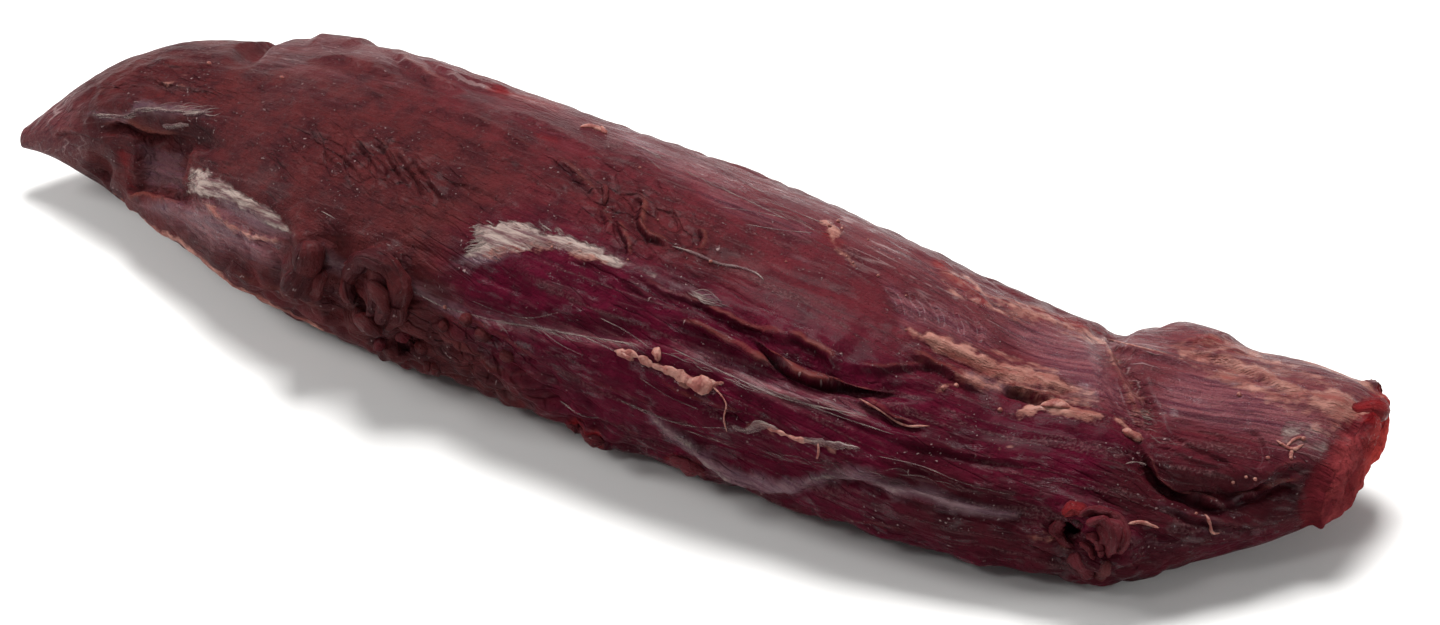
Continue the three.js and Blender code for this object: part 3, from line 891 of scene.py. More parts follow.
STRANDS = (
    # Rolls on the near edge
    Strand("first roll", LEAN, ((305, 240), (308, 254), (302, 272), (290, 292)), 2.7, 2.2, 0.9),
    Strand("first roll foot", LEAN, ((322, 268), (316, 284), (302, 298)), 1.9, 1.5, 0.4),
    Strand("ear outer roll", LEAN, (
        (354, 304), (350, 282), (360, 264), (378, 260), (392, 272), (400, 292), (396, 314), (386, 330)
    ), 1.7, 1.8, 0.7, lumps=0.34),
    Strand("ear inner roll", LEAN, (
        (370, 282), (380, 292), (384, 308), (378, 324)
    ), 1.5, 1.5, 0.4, lumps=0.3),
    Strand("ear foot", LEAN, ((356, 306), (364, 320), (380, 332)), 1.5, 1.3, 0.3),
    Strand("reddish lobe one", LEAN, ((374, 342), (386, 346)), 1.5, 1.1, 0.3, "reddish"),
    Strand("reddish lobe two", LEAN, ((398, 332), (410, 338)), 1.3, 1.0, 0.3, "reddish"),
    Strand("crumb one", LEAN, ((418, 344), (428, 350)), 1.2, 0.9, 0.2),
    Strand("crumb two", LEAN, ((462, 318), (472, 322)), 1.4, 1.0, 0.2),
    Strand("crumb three", LEAN, ((478, 330), (492, 338)), 1.5, 1.0, 0.2),
    Strand("crumb four", LEAN, ((440, 322), (448, 330)), 1.1, 0.9, 0.2),
    Strand("crumb five", LEAN, ((424, 362), (440, 370)), 1.2, 0.9, 0.2),
    Strand("crumb six", LEAN, ((500, 352), (514, 360)), 1.0, 0.8, 0.2),
    Strand("low bump one", LEAN, ((570, 424), (584, 434), (604, 442)), 1.4, 0.9, 0.1, "reddish"),
    Strand("low bump two", LEAN, ((670, 456), (686, 466), (704, 472)), 1.3, 0.8, 0.1, "reddish"),

    # Torn tabs
    Strand("torn tab one", LEAN, ((603, 186), (606, 196), (605, 206)), 0.55, 0.5, 0.5),

    # Curled scrap low on the near side
    Strand("curl mass", LEAN, (
        (1096, 526), (1108, 530), (1114, 540), (1112, 554)
    ), 2.2, 1.4, -0.2, "reddish", 0.4, 0.5),
    Strand("curl fold one", LEAN, (
        (1078, 516), (1094, 513), (1110, 518), (1121, 528), (1124, 542), (1119, 554)
    ), 0.8, 0.9, 0.8, "reddish", 0.36),
    Strand("curl fold two", LEAN, (
        (1086, 523), (1098, 521), (1110, 530), (1113, 544), (1108, 558)
    ), 0.75, 0.8, 1.0, "reddish", 0.36),
    Strand("curl fold three", LEAN, (
        (1086, 534), (1096, 534), (1102, 544), (1101, 558)
    ), 0.7, 0.8, 0.7, "reddish", 0.36),
    Strand("curl fold four", LEAN, ((1080, 543), (1090, 548), (1094, 560)), 0.7, 0.7, 0.3, "reddish", 0.36),
    Strand("curl tab", LEAN, ((1070, 554), (1080, 566), (1094, 577)), 1.3, 0.9, -0.1, "reddish", 0.5),
    Strand("curl low tab", LEAN, ((1108, 560), (1104, 570), (1096, 579)), 0.9, 0.8, 0.2, lumps=0.4),
    Strand("red tab", LEAN, ((1062, 514), (1074, 509), (1089, 512)), 1.0, 0.8, 0.4, "raw_red", 0.4),
    Strand("curl left tab", LEAN, (
        (1062, 520), (1056, 530), (1062, 540), (1074, 546)
    ), 1.0, 0.8, 0.1, "reddish", 0.5),
    Strand("nub", LEAN, (
        (1352, 408), (1368, 409), (1382, 409), (1392, 411)
    ), 2.0, 1.3, -0.2, "raw_red", 0.3, 0.6),

    # Fat
    Strand("fat strip one", FAT, (
        (614, 351), (633, 354), (652, 365), (670, 371), (684, 377), (695, 382), (710, 383), (724, 383)
    ), 0.6, 0.3, 0.05, lumps=0.7),
    Strand("fat strip one blob", FAT, ((654, 348), (658, 354), (658, 362)), 0.75, 0.5, 0.1),
    Strand(
        "fat strip one thick end", FAT, ((686, 381), (700, 385), (714, 385)), 0.95, 0.45, 0.05, lumps=0.6
    ),
    Strand("fat strip one top", FAT, ((616, 351), (622, 354), (634, 360)), 0.55, 0.4, 0.1),
    Strand("hanging thread", FAT, (
        (713, 387), (722, 396), (727, 405), (724, 416), (727, 432)
    ), 0.14, 0.16, 0.1),
    Strand("fat strip two", FAT, (
        (762, 425), (780, 432), (793, 438), (814, 442)
    ), 0.42, 0.24, -0.05, lumps=0.6),
    Strand("fat strip two start", SILVER, (
        (732, 426), (744, 431), (762, 425), (780, 431)
    ), 0.6, 0.24, 0.0, lumps=0.5),
    Strand("fat strip two end", SILVER, ((800, 439), (835, 445), (860, 448)), 0.5, 0.2, 0.0, lumps=0.6),
    Strand("fat strip two drip", FAT, ((818, 442), (819, 450), (817, 460)), 0.22, 0.25, 0.1),
    Strand("top fat spot", FAT, ((580, 127), (592, 127), (604, 132)), 0.7, 0.4, 0.1),
    Strand("top fat spot end", FAT, ((600, 128), (606, 134)), 0.6, 0.4, 0.1),
    Strand("sheen streak", SILVER, (
        (92, 114), (112, 115), (126, 116), (136, 110), (170, 111), (204, 113)
    ), 0.22, 0.14, 0.05, lumps=0.5),
    Strand("white scrap", SILVER, ((162, 125), (170, 127), (178, 125), (190, 125)), 0.5, 0.3, 0.1),
    Strand("white scrap two", SILVER, ((182, 114), (194, 114), (206, 112)), 0.35, 0.2, 0.1),
    Strand("second fat lump", FAT, ((1040, 406), (1056, 404), (1070, 408)), 0.7, 0.5, 0.2),
    Strand("seam fat knob", FAT, ((1122, 430), (1132, 436), (1142, 440)), 0.9, 0.6, 0.2),
    Strand("silverskin branch one", FAT, (
        (1276, 440), (1284, 446), (1292, 450), (1304, 444)
    ), 0.28, 0.25, 0.1),
    Strand("silverskin branch two", FAT, ((1292, 450), (1290, 458)), 0.3, 0.25, 0.1),
    Strand("silverskin branch three", FAT, ((1286, 447), (1296, 438), (1306, 438)), 0.22, 0.2, 0.1),
    Strand("low fat one", FAT, ((1128, 524), (1140, 522), (1159, 528)), 0.3, 0.25, 0.1),
    Strand("low fat two", FAT, ((1204, 514), (1210, 522), (1211, 533), (1220, 533)), 0.28, 0.25, 0.1),
    Strand("lobe line", FAT, ((1104, 338), (1131, 345), (1168, 354)), 0.16, 0.12),
    Strand("seam side line", SILVER, ((1125, 464), (1134, 462), (1147, 465)), 0.16, 0.12),

    # Fascia threads
    Strand("white strand", SILVER, (
        (672, 246), (698, 255), (719, 264), (744, 269), (762, 278), (764, 281)
    ), 0.26, 0.2, 0.1),
    Strand("fascia one", SILVER, ((633, 144), (648, 151), (661, 158)), 0.3, 0.1),
    Strand("fascia two", SILVER, ((682, 169), (712, 184), (744, 199), (790, 221)), 0.12, 0.1),
    Strand("fascia three", SILVER, ((704, 160), (740, 180), (774, 199)), 0.1, 0.08),
    Strand("fascia four", SILVER, ((719, 207), (756, 212), (790, 219)), 0.08, 0.08),
    Strand("fascia five", SILVER, ((744, 224), (780, 230), (814, 233)), 0.1, 0.08),
    Strand("fascia six", SILVER, ((612, 134), (640, 152), (664, 172)), 0.08, 0.08),
    Strand("fascia seven", SILVER, ((760, 196), (800, 214), (826, 224)), 0.1, 0.08),
    Strand("web one", SILVER, ((384, 272), (398, 285), (416, 293), (444, 307), (453, 310)), 0.14, 0.1),
    Strand("web two", SILVER, ((453, 310), (496, 321), (539, 328), (582, 336), (640, 345)), 0.16, 0.12),
    Strand("web branch one", SILVER, ((496, 321), (508, 334), (512, 350)), 0.07, 0.07),
    Strand("web branch two", SILVER, ((539, 328), (556, 342), (584, 356)), 0.07, 0.07),
    Strand("web branch three", SILVER, ((470, 300), (500, 312), (530, 318), (560, 312)), 0.06, 0.06),
    Strand("web branch four", SILVER, ((582, 336), (600, 344), (616, 352)), 0.1, 0.08),
    Strand("web branch five", SILVER, ((600, 318), (624, 330), (650, 348)), 0.09, 0.08),
    Strand("long thin line", SILVER, ((878, 456), (927, 468), (958, 481), (1016, 496)), 0.08, 0.08),
    Strand("arc one", SILVER, ((760, 386), (790, 398), (821, 410), (895, 435)), 0.1, 0.1),
    Strand("arc two", SILVER, ((560, 401), (584, 416), (606, 418)), 0.2, 0.15),
    Strand("arc three", SILVER, (
        (673, 349), (700, 362), (725, 373), (774, 395), (820, 407), (866, 416)
    ), 0.16, 0.1),
    Strand("arc four", SILVER, ((640, 378), (668, 396), (700, 410)), 0.08, 0.08),
    Strand("arc five", SILVER, ((616, 398), (650, 414), (690, 426), (730, 428)), 0.08, 0.08),
    Strand("band edge thread", FAT, ((858, 398), (880, 410), (904, 425), (930, 426)), 0.2, 0.16, 0.05),
    Strand("scratch", SILVER, ((321, 211), (330, 216), (337, 220)), 0.09, 0.08),
)

FRINGES = (
    Fringe("silverskin left fray", SILVER, ((480, 226), (486, 238), (478, 252)), (-14, 2), 26, 0.12),
    Fringe("silverskin top fray", SILVER, (
        (488, 226), (530, 226), (590, 246), (622, 264)
    ), (-6, -4), 40, 0.1),
    Fringe("left silverskin fray", SILVER, ((196, 170), (194, 192)), (-7, 3), 14, 0.1),
    Fringe("strip tail", SILVER, ((690, 290), (700, 300)), (32, 11), 12, 0.1),
    Fringe("web hairs", SILVER, ((470, 314), (540, 328), (630, 343)), (16, 8), 26, 0.05),
    Fringe("fascia hairs", SILVER, ((640, 150), (720, 186), (800, 222)), (26, 11), 24, 0.05),
    Fringe("layer hairs", SILVER, ((660, 350), (740, 382), (860, 412)), (26, 10), 24, 0.05),
    Fringe("low hairs", SILVER, ((620, 400), (700, 434), (800, 460), (940, 480)), (34, 13), 26, 0.05),
    Fringe("lobe hairs", SILVER, ((1130, 400), (1150, 440)), (26, 8), 12, 0.05),
    Fringe("sheen hairs", SILVER, ((92, 114), (122, 117), (136, 110), (204, 113)), (20, -2), 30, 0.09),
)

FAT_BEADS = (
    (830, 226, 0.3), (838, 222, 0.35), (842, 229, 0.25), (847, 257, 0.25), (853, 263, 0.2),
    (282, 78, 0.32), (209, 64, 0.36), (1239, 395, 0.42), (1268, 458, 0.34), (
        1255, 479, 0.36
    ), (1233, 482, 0.3),
    (1291, 458, 0.34), (1303, 439, 0.4), (
        1246, 477, 0.28
    ), (445, 307, 0.3), (711, 262, 0.34), (658, 220, 0.2),
    (640, 168, 0.22), (628, 260, 0.24), (552, 247, 0.22), (878, 276, 0.26), (906, 296, 0.22), (
        956, 386, 0.36
    ),
    (1000, 410, 0.4), (943, 388, 0.4), (906, 330, 0.2), (786, 262, 0.2), (868, 240, 0.2), (1196, 514, 0.24),
)


class Draft:
    """Mesh under construction: points, faces and painted layers, in millimetres."""

    def __init__(self) -> None:
        """Starts empty."""
        self.points: list[np.ndarray] = []
        self.quads: list[np.ndarray] = []
        self.triangles: list[np.ndarray] = []
        self.fibre: list[np.ndarray] = []
        self.layers: dict[str, list[np.ndarray]] = {}
        self.count = 0

    def add(
        self, points: np.ndarray, quads: np.ndarray, triangles: np.ndarray, fibre: np.ndarray, layers: Layers
    ) -> None:
        """Adds one shell with its painted layers."""
        self.points.append(points)
        self.quads.append(quads + self.count)
        self.triangles.append(triangles + self.count)
        self.fibre.append(fibre)
        for name, values in layers.items():
            self.layers.setdefault(name, [np.zeros(self.count)]).append(values)
        self.count += len(points)
        for values in self.layers.values():
            missing = self.count - sum(len(v) for v in values)
            if missing:
                values.append(np.zeros(missing))

    def finish(self, name: str, normals: np.ndarray | None = None) -> bpy.types.Object:
        """Turns the draft into a Blender object.

        Args:
            name: Name of the object and its mesh.
            normals: Outward direction of each vertex, or None for the mesh's own.

        Returns:
            The object, in the scene, smooth and not yet dressed.
        """
        mesh = bpy.data.meshes.new(name)
        faces = np.concatenate(self.quads).tolist() + np.concatenate(self.triangles).tolist()
        mesh.from_pydata((np.concatenate(self.points) * MM).tolist(), [], faces)
        mesh.polygons.foreach_set("use_smooth", np.ones(len(mesh.polygons), bool))
        for layer, values in self.layers.items():
            attribute = mesh.attributes.new(layer, "FLOAT", "POINT")
            attribute.data.foreach_set("value", np.concatenate(values).astype(np.float32))
        attribute = mesh.attributes.new("fibre_place", "FLOAT_VECTOR", "POINT")
        attribute.data.foreach_set("vector", np.concatenate(self.fibre).astype(np.float32).ravel())
        mesh.validate()
        if normals is not None:
            mesh.normals_split_custom_set_from_vertices(normals.tolist())
        piece = bpy.data.objects.new(name, mesh)
        bpy.context.scene.collection.objects.link(piece)
        return piece


class TenderSkin:
    """The whole skin of the muscle with its marks painted on, cut into lengths that share end rings.

    Names in _MM are distances and names in _RISE are heights, both in millimetres. A name in _SPAN
    holds the two values between which something sets in.
    """

    RINGS = 760
    CUT_RINGS = 44
    FACETS_ROUND = 420
    SECTION_COUNT = 4
    LONG = np.array([1.5, 1.0, 1.0])
    LONGER = np.array([1.6, 1.0, 1.0])
    FACING_FULL = 0.12
    CREASE_END, CREASE_TAPER = 0.35, 4.0
    MARK_END, MARK_TAPER = 0.45, 5.0
    LEDGE_REACHES = 3
    RIM_SPAN = (-1.5, 1.4)
    CUT_SPAN = (-4.5, 1.6)
    CORNER_SPAN = (-3.5, 0.8)
    INSIDE_SPAN = (-0.97, -0.75)
    FLOOR_FADE_MM = 3.0
    FLOOR_SHARE = 0.15
    CREASED_SIDE = math.radians(150)
    CROWDING = 0.5
    UNROLL_RADIUS = 24.0
    WARP_MM = 2.6
    WARP_SHIFT = 0.5
    LUMP_MM = 13.0
    LUMP_RISE = 0.5
    FASCICLE_MM = 5.2
    FASCICLE_STRETCH = 8.0
    FASCICLE_RISE = 1.15
    CALM_MM = 17.0
    BEND_MM = 20.0
    BEND_SHIFT = 2.4
    EDGE_MM = 1.5
    EDGE_SHIFT = 0.55
    KNOB_MM = 3.6
    KNOB_RISE = 0.16
    CORNER_DROP = 0.8
    BIG_KNOB_MM = 6.5
    BIG_KNOB_RISE = 3.2
    CRUMB_RISE = 0.7
    LEDGE_GAIN = 1.5
    LEDGE_FADE = 0.25
    LEDGE_DROP = (-0.35, 0.2)
    LEDGE_HOLLOW = 0.5
    HOLLOW_MM = 0.6
    HOLLOW_WIDTH = 0.7
    FOOT_MM = 0.8
    FOOT_SHIFT = 0.3
    LIP_MM = 0.55
    LIP_GAIN = 1.2
    BILLOW_GAIN = 3.2
    BILLOW_TOP = 1.6
    BILLOW_POWER = 0.8
    CUT_LUMP_MM = np.array([9.0, 3.4, 3.4])
    CUT_LUMP_RISE = 0.8
    CUT_KNOB_RISE = 0.45
    FAT_KNOB_RISE = 0.4
    FAR_UP = np.array([0.0, 0.9, -0.4])
    FAR_SPAN = (-9.0, 10.0)
    INSIDE_RIM = 0.35
    OUTER_RIM = 0.75
    RAISED_SPAN = (0.3, 0.9)

    def __init__(self, muscle: Muscle, view: View) -> None:
        """Keeps the form and the view that the marks are given in."""
        self.muscle = muscle
        self.view = view
        self.along, self.turn, self.shrink = self.places()
        self.plain = muscle.plain(self.along, self.turn, self.shrink)
        self.solid = self.creased(self.plain)
        self.normal = self.normals(self.solid)
        toward = view.eye() - self.solid
        facing = np.einsum("ij,ij->i", self.normal, toward) / np.linalg.norm(toward, axis=1)
        self.facing = smooth_step(facing, 0.0, self.FACING_FULL)
        shift = [self.WARP_SHIFT * Grain(seed).layers(self.solid / self.WARP_MM, 2) for seed in (21, 22)]
        self.warp = np.stack(shift, axis=1)
        self.seen = view.pixels(self.solid) / PIXELS_PER_MM + self.warp
        self.edge = self.EDGE_SHIFT * Grain(23).layers(self.solid / self.EDGE_MM, 3)

    def rings(self) -> tuple[np.ndarray, np.ndarray]:
        """Place along and shrink of each ring between the two poles."""
        body_count = self.RINGS - self.CUT_RINGS
        body = np.linspace(0, LENGTH_TO_CUT, body_count)
        turn = np.pi / 2 * np.arange(1, self.CUT_RINGS) / self.CUT_RINGS
        face = LENGTH_TO_CUT + CUT_BULGE * np.sin(turn) ** (2 / CUT_SQUARENESS)
        shrink = np.cos(turn) ** (2 / CUT_SQUARENESS)
        return np.concatenate([body, face]), np.concatenate([np.ones(body_count), shrink])

    def places(self) -> tuple[np.ndarray, np.ndarray, np.ndarray]:
        """Along, turn and shrink of every vertex, with the two poles last."""
        along, shrink = self.rings()
        turn = np.linspace(0, 2 * np.pi, self.FACETS_ROUND, endpoint=False)
        turn = turn - self.CROWDING * np.sin(turn - self.CREASED_SIDE)
        grid_along = np.repeat(along, len(turn))
        grid_turn = np.tile(turn, len(along))
        grid_shrink = np.repeat(shrink, len(turn))
        ends = [-TIP_ROUNDING, LENGTH_TO_CUT + CUT_BULGE]
        return (
            np.concatenate([grid_along, ends]),
            np.concatenate([grid_turn, [0.0, 0.0]]),
            np.concatenate([grid_shrink, [0.0, 0.0]]),
        )

    def faces(self) -> tuple[np.ndarray, np.ndarray]:
        """Four-sided faces between the rings, and the triangles at the two poles."""
        round_count = self.FACETS_ROUND
        ring_count = len(self.rings()[0])
        quads, here, there = ring_quads(ring_count, round_count)
        tip, cut = ring_count * round_count, ring_count * round_count + 1
        last = (ring_count - 1) * round_count
        tips = np.stack([np.full(round_count, tip), there, here], axis=1)
        cuts = np.stack([np.full(round_count, cut), last + here, last + there], axis=1)
        return quads, np.concatenate([tips, cuts])

    def normals(self, points: np.ndarray) -> np.ndarray:
        """Outward directions of a grid of skin places, with the two poles last."""
        grid = points[:-2].reshape(-1, self.FACETS_ROUND, 3)
        forward = np.gradient(grid, axis=0)
        sideways = np.roll(grid, -1, axis=1) - np.roll(grid, 1, axis=1)
        normal = np.cross(sideways, forward).reshape(-1, 3)
        normal = np.concatenate([normal, [[-1, 0, 0], [1, 0, 0]]])
        return normal / np.maximum(np.linalg.norm(normal, axis=1, keepdims=True), 1e-9)

    def creased(self, plain: np.ndarray) -> np.ndarray:
        """Moves the plain skin along its normals by the named creases."""
        depth = np.zeros(len(plain))
        for crease in CREASES:
            path = self.muscle.path(crease.path)
            low, high = path.min(axis=0) - crease.reach, path.max(axis=0) + crease.reach
            near = np.flatnonzero(((plain >= low) & (plain <= high)).all(axis=1))
            gap, where, _ = path_distance(plain[near], path)
            share = np.clip(1 - (gap / crease.reach) ** 2, 0, 1)
            fade = np.minimum(1, self.CREASE_END + self.CREASE_TAPER * np.minimum(where, 1 - where))
            depth[near] += crease.rise * share ** 2 * fade
        return plain + self.normals(plain) * depth[:, None]

    def wash(self, washes: tuple[Wash, ...]) -> np.ndarray:
        """Strength of one tone over the skin, from 0 to 1."""
        total = np.zeros(len(self.solid))
        for wash in washes:
            gap, _, _ = path_distance(self.solid, self.muscle.path(wash.path))
            total = np.maximum(total, wash.strength * np.exp(-((gap / wash.reach) ** 2)))
        return total

    def laid_flat(self, path: Path, on_body: bool, rounded: bool = True) -> tuple[np.ndarray, np.ndarray]:
        """The skin's vertices and a path, both flat and in millimetres.

        Args:
            path: View places, or body places.
            on_body: Which of the two they are.
            rounded: Whether the path's bends are smooth.

        Returns:
            The vertices and the path's corners, two numbers to a row.
        """
        corners = rounded_path(path) if rounded else np.array(path, float)
        if not on_body:
            return self.seen, corners / PIXELS_PER_MM
        middle = corners[:, 1].mean()
        degrees = (np.degrees(self.turn) - middle + 180) % 360 - 180 + middle
        arc = self.UNROLL_RADIUS * np.radians(degrees)
        points = np.stack([self.along, arc], axis=1) + self.warp
        return points, np.stack([corners[:, 0], self.UNROLL_RADIUS * np.radians(corners[:, 1])], axis=1)

    def near(self, points: np.ndarray, path: np.ndarray, margin: float, on_body: bool) -> np.ndarray:
        """Numbers of the vertices within a margin of a path."""
        close = ((points >= path.min(axis=0) - margin) & (points <= path.max(axis=0) + margin)).all(axis=1)
        if not on_body:
            close &= self.facing > 0
        return np.flatnonzero(close)

    def mark_value(self, mark: Mark) -> tuple[np.ndarray, np.ndarray]:
        """Vertices near a mark, and how far inside it each lies, from 0 to 1 across its soft edge."""
        points, path = self.laid_flat(mark.path, mark.on_body, not mark.patch)
        if mark.patch:
            path = np.concatenate([path, path[:1]])
        soft = SOFT_EDGE_MM[mark.tissue]
        near = self.near(points, path, mark.half_width + soft, mark.on_body)
        gap, where, _ = path_distance(points[near], path)
        if mark.patch:
            depth = np.where(inside_outline(points[near], path[:-1]), gap, -gap)
        else:
            taper = np.minimum(1, self.MARK_END + self.MARK_TAPER * np.minimum(where, 1 - where))
            depth = mark.half_width * taper - gap
        if mark.tissue in (Tissue.FAT, Tissue.SILVERSKIN, Tissue.VEIL_AND_SHEEN):
            depth = depth + self.edge[near]
        weight = 1.0 if mark.on_body else self.facing[near]
        return near, np.clip(0.5 + 0.5 * depth / soft, 0, 1) * mark.strength * weight

    def ledge_rise(self, ledge: Ledge) -> tuple[np.ndarray, np.ndarray, np.ndarray, np.ndarray]:
        """Vertices near a ledge, how far each rises, the painted shade at its foot, and its paler lip, partly
        a painted highlight.
        """
        points, path = self.laid_flat(ledge.path, ledge.on_body)
        near = self.near(points, path, self.LEDGE_REACHES * ledge.reach, ledge.on_body)
        gap, where, side = path_distance(points[near], path)
        fade = smooth_step(np.minimum(where, 1 - where), 0.0, self.LEDGE_FADE)
        weight = fade if ledge.on_body else fade * self.facing[near]
        signed = gap * side
        high = np.exp(-np.maximum(signed, 0) / ledge.reach) * smooth_step(signed, *self.LEDGE_DROP)
        low = -self.LEDGE_HOLLOW * np.exp(-((signed + self.HOLLOW_MM) / self.HOLLOW_WIDTH) ** 2)
        foot = np.clip(1 - np.abs(signed + self.FOOT_SHIFT) / self.FOOT_MM, 0, 1)
        lip = np.exp(-(((signed - self.LIP_MM) / self.LIP_MM) ** 2)) * min(1.0, self.LIP_GAIN * ledge.rise)
        lift = self.LEDGE_GAIN * ledge.rise * (high + low) * weight
        return near, lift, ledge.shade * foot * weight, lip * weight

    def billow(self, places: np.ndarray, seed: int) -> np.ndarray:
        """Round bulges with sharp grooves between them: 0 in a groove, about 1 on a bulge."""
        waves = self.BILLOW_GAIN * np.abs(Grain(seed).layers(places, 2))
        return np.minimum(waves, self.BILLOW_TOP) ** self.BILLOW_POWER

    def build(self) -> list[bpy.types.Object]:
        """Makes the mesh, its relief and its painted layers.

        Returns:
            The finished sections from the tip to the cut, not yet dressed.
        """
        rise, layers = self.painted()
        zero = np.zeros(len(self.solid))
        across, height = (self.muscle.value(name, self.along) for name in ("across", "height"))
        middle = [zero, across, height / 2]
        fibre = self.solid - np.stack(middle, axis=1)
        rim = smooth_step(self.along - LENGTH_TO_CUT, *self.RIM_SPAN)
        self.paint_cut(fibre, rim, layers)
        rise += self.relief(fibre, rim, layers)
        floor_fade = smooth_step(self.plain[:, 2], 0.0, self.FLOOR_FADE_MM)
        share = self.FLOOR_SHARE + (1 - self.FLOOR_SHARE) * floor_fade
        points = self.solid + self.normal * (rise * share)[:, None]
        points[:, 2] = np.maximum(points[:, 2], 0)

        quads, triangles = self.faces()
        self.tree = BVHTree.FromPolygons(points.tolist(), quads.tolist() + triangles.tolist())
        return self.sections(points, quads, triangles, fibre, layers)

    def painted(self) -> tuple[np.ndarray, Layers]:
        """How far the marks and ledges raise each vertex, and every painted layer but the cut's."""
        rise = np.zeros(len(self.solid))
        layers = {name: np.zeros(len(rise)) for name in (*(tissue.value for tissue in Tissue), "lip")}
        for mark in MARKS:
            near, value = self.mark_value(mark)
            layer = layers[mark.tissue.value]
            layer[near] = np.maximum(layer[near], value)
            rise[near] += mark.rise * smooth_step(value, *self.RAISED_SPAN)
        for ledge in LEDGES:
            near, lift, foot, lip = self.ledge_rise(ledge)
            rise[near] += lift
            # The lip is paler, partly a painted highlight; the foot gets painted shade
            for name, value in (("lip", lip), ("crevice", foot)):
                layers[name][near] = np.maximum(layers[name][near], value)
        for name, washes in WASHES.items():
            layers[name] = self.wash(washes)
        return rise, layers

    def paint_cut(self, fibre: np.ndarray, rim: np.ndarray, layers: Layers) -> None:
        """Paints the cut face, and its bright far rim."""
        inside = smooth_step(-self.shrink, *self.INSIDE_SPAN)
        far = smooth_step(fibre @ self.FAR_UP, *self.FAR_SPAN)
        layers["cut_face"] = smooth_step(self.along - LENGTH_TO_CUT, *self.CUT_SPAN)
        layers["far_rim"] = rim * (self.INSIDE_RIM * inside + self.OUTER_RIM * far)

    def relief(self, fibre: np.ndarray, rim: np.ndarray, layers: Layers) -> np.ndarray:
        """Lumps, bundles and knobs over the skin, whose grooves get painted shade in the crevice layer.

        Args:
            fibre: Places from the muscle's middle line.
            rim: Where the cut face is, from 0 to 1.
            layers: The painted layers.

        Returns:
            How far each vertex rises, in millimetres.
        """
        body = 1 - rim
        smooth = np.clip(np.maximum(layers["silverskin"], layers["fat"]), 0, 1)
        deep = np.clip(layers["deep"] + 0.5 * layers["dark"], 0, 1)
        knobby = np.clip(layers["knobby"], 0, 1)
        lumps = Grain(11).layers(self.solid / (self.LUMP_MM * self.LONG), 2)
        knobs = Grain(12).layers(self.solid / self.KNOB_MM, 2)
        calm = smooth_step(Grain(19).layers(self.solid / (self.CALM_MM * self.LONGER), 2), -0.35, 0.35)
        busy = 0.3 + 0.7 * calm
        bend = np.stack([Grain(seed).at(self.solid / self.BEND_MM) for seed in (15, 16, 17)], axis=1)
        bent = fibre + self.BEND_SHIFT * bend
        bundles = self.billow(bent / (self.FASCICLE_MM * np.array([self.FASCICLE_STRETCH, 1, 1])), 13)
        big_knobs = self.billow(bent / (self.BIG_KNOB_MM * self.LONG), 18)

        corner = smooth_step(self.shrink, 0.7, 0.97)
        corner = corner * smooth_step(self.along - LENGTH_TO_CUT, *self.CORNER_SPAN)
        crumbs = self.KNOB_RISE + self.CRUMB_RISE * np.maximum(layers["scaly"], 0.6 * knobby)
        rough_share = (0.12 + 0.4 * deep) * busy * (1 - 0.7 * smooth) * (1 - 0.5 * layers["pink"])
        cut_lumps = Grain(14).layers(self.solid / self.CUT_LUMP_MM, 3)
        rise = body * self.LUMP_RISE * lumps - self.CORNER_DROP * corner
        rise += body * crumbs * knobs * (1 - smooth)
        rise += body * self.FASCICLE_RISE * (bundles - 0.7) * rough_share
        rise += body * self.BIG_KNOB_RISE * (big_knobs - 0.75) * 0.5 * knobby * (1 - smooth)
        rise += smooth_step(layers["fat"], 0.3, 1.0) * self.FAT_KNOB_RISE * knobs
        rise += rim * (self.CUT_LUMP_RISE * cut_lumps + self.CUT_KNOB_RISE * knobs)

        # Painted shade: grooves between bundles and knobs go into the crevice layer
        groove = smooth_step(0.26 - bundles, 0.0, 0.26) * (0.08 + 0.36 * deep) * busy
        knob_groove = 0.75 * smooth_step(0.35 - big_knobs, 0.0, 0.35) * 0.45 * knobby
        dark = body * (1 - smooth) * np.maximum(groove, knob_groove)
        layers["crevice"] = np.maximum(layers["crevice"], dark)
        return rise

    def sections(
        self, points: np.ndarray, quads: np.ndarray, triangles: np.ndarray, fibre: np.ndarray, layers: Layers
    ) -> list[bpy.types.Object]:
        """Splits the skin along its length into sections that share their end rings and normals."""
        normals = self.normals(points)
        rows = len(quads) // self.FACETS_ROUND
        bounds = np.linspace(0, rows, self.SECTION_COUNT + 1).astype(int)
        tips, cuts = triangles[: self.FACETS_ROUND], triangles[self.FACETS_ROUND:]
        pieces = []
        for number, (start, stop) in enumerate(zip(bounds[:-1], bounds[1:])):
            own_quads = quads[start * self.FACETS_ROUND: stop * self.FACETS_ROUND]
            ends = {0: tips, self.SECTION_COUNT - 1: cuts}.get(number, np.zeros((0, 3), int))
            used = np.unique(np.concatenate([own_quads.ravel(), ends.ravel()]))
            lookup = np.zeros(len(points), int)
            lookup[used] = np.arange(len(used))
            draft = Draft()
            own_layers = {name: values[used] for name, values in layers.items()}
            draft.add(points[used], lookup[own_quads], lookup[ends], fibre[used], own_layers)
            pieces.append(draft.finish(f"tender_skin_{number + 1}", normals[used]))
        return pieces


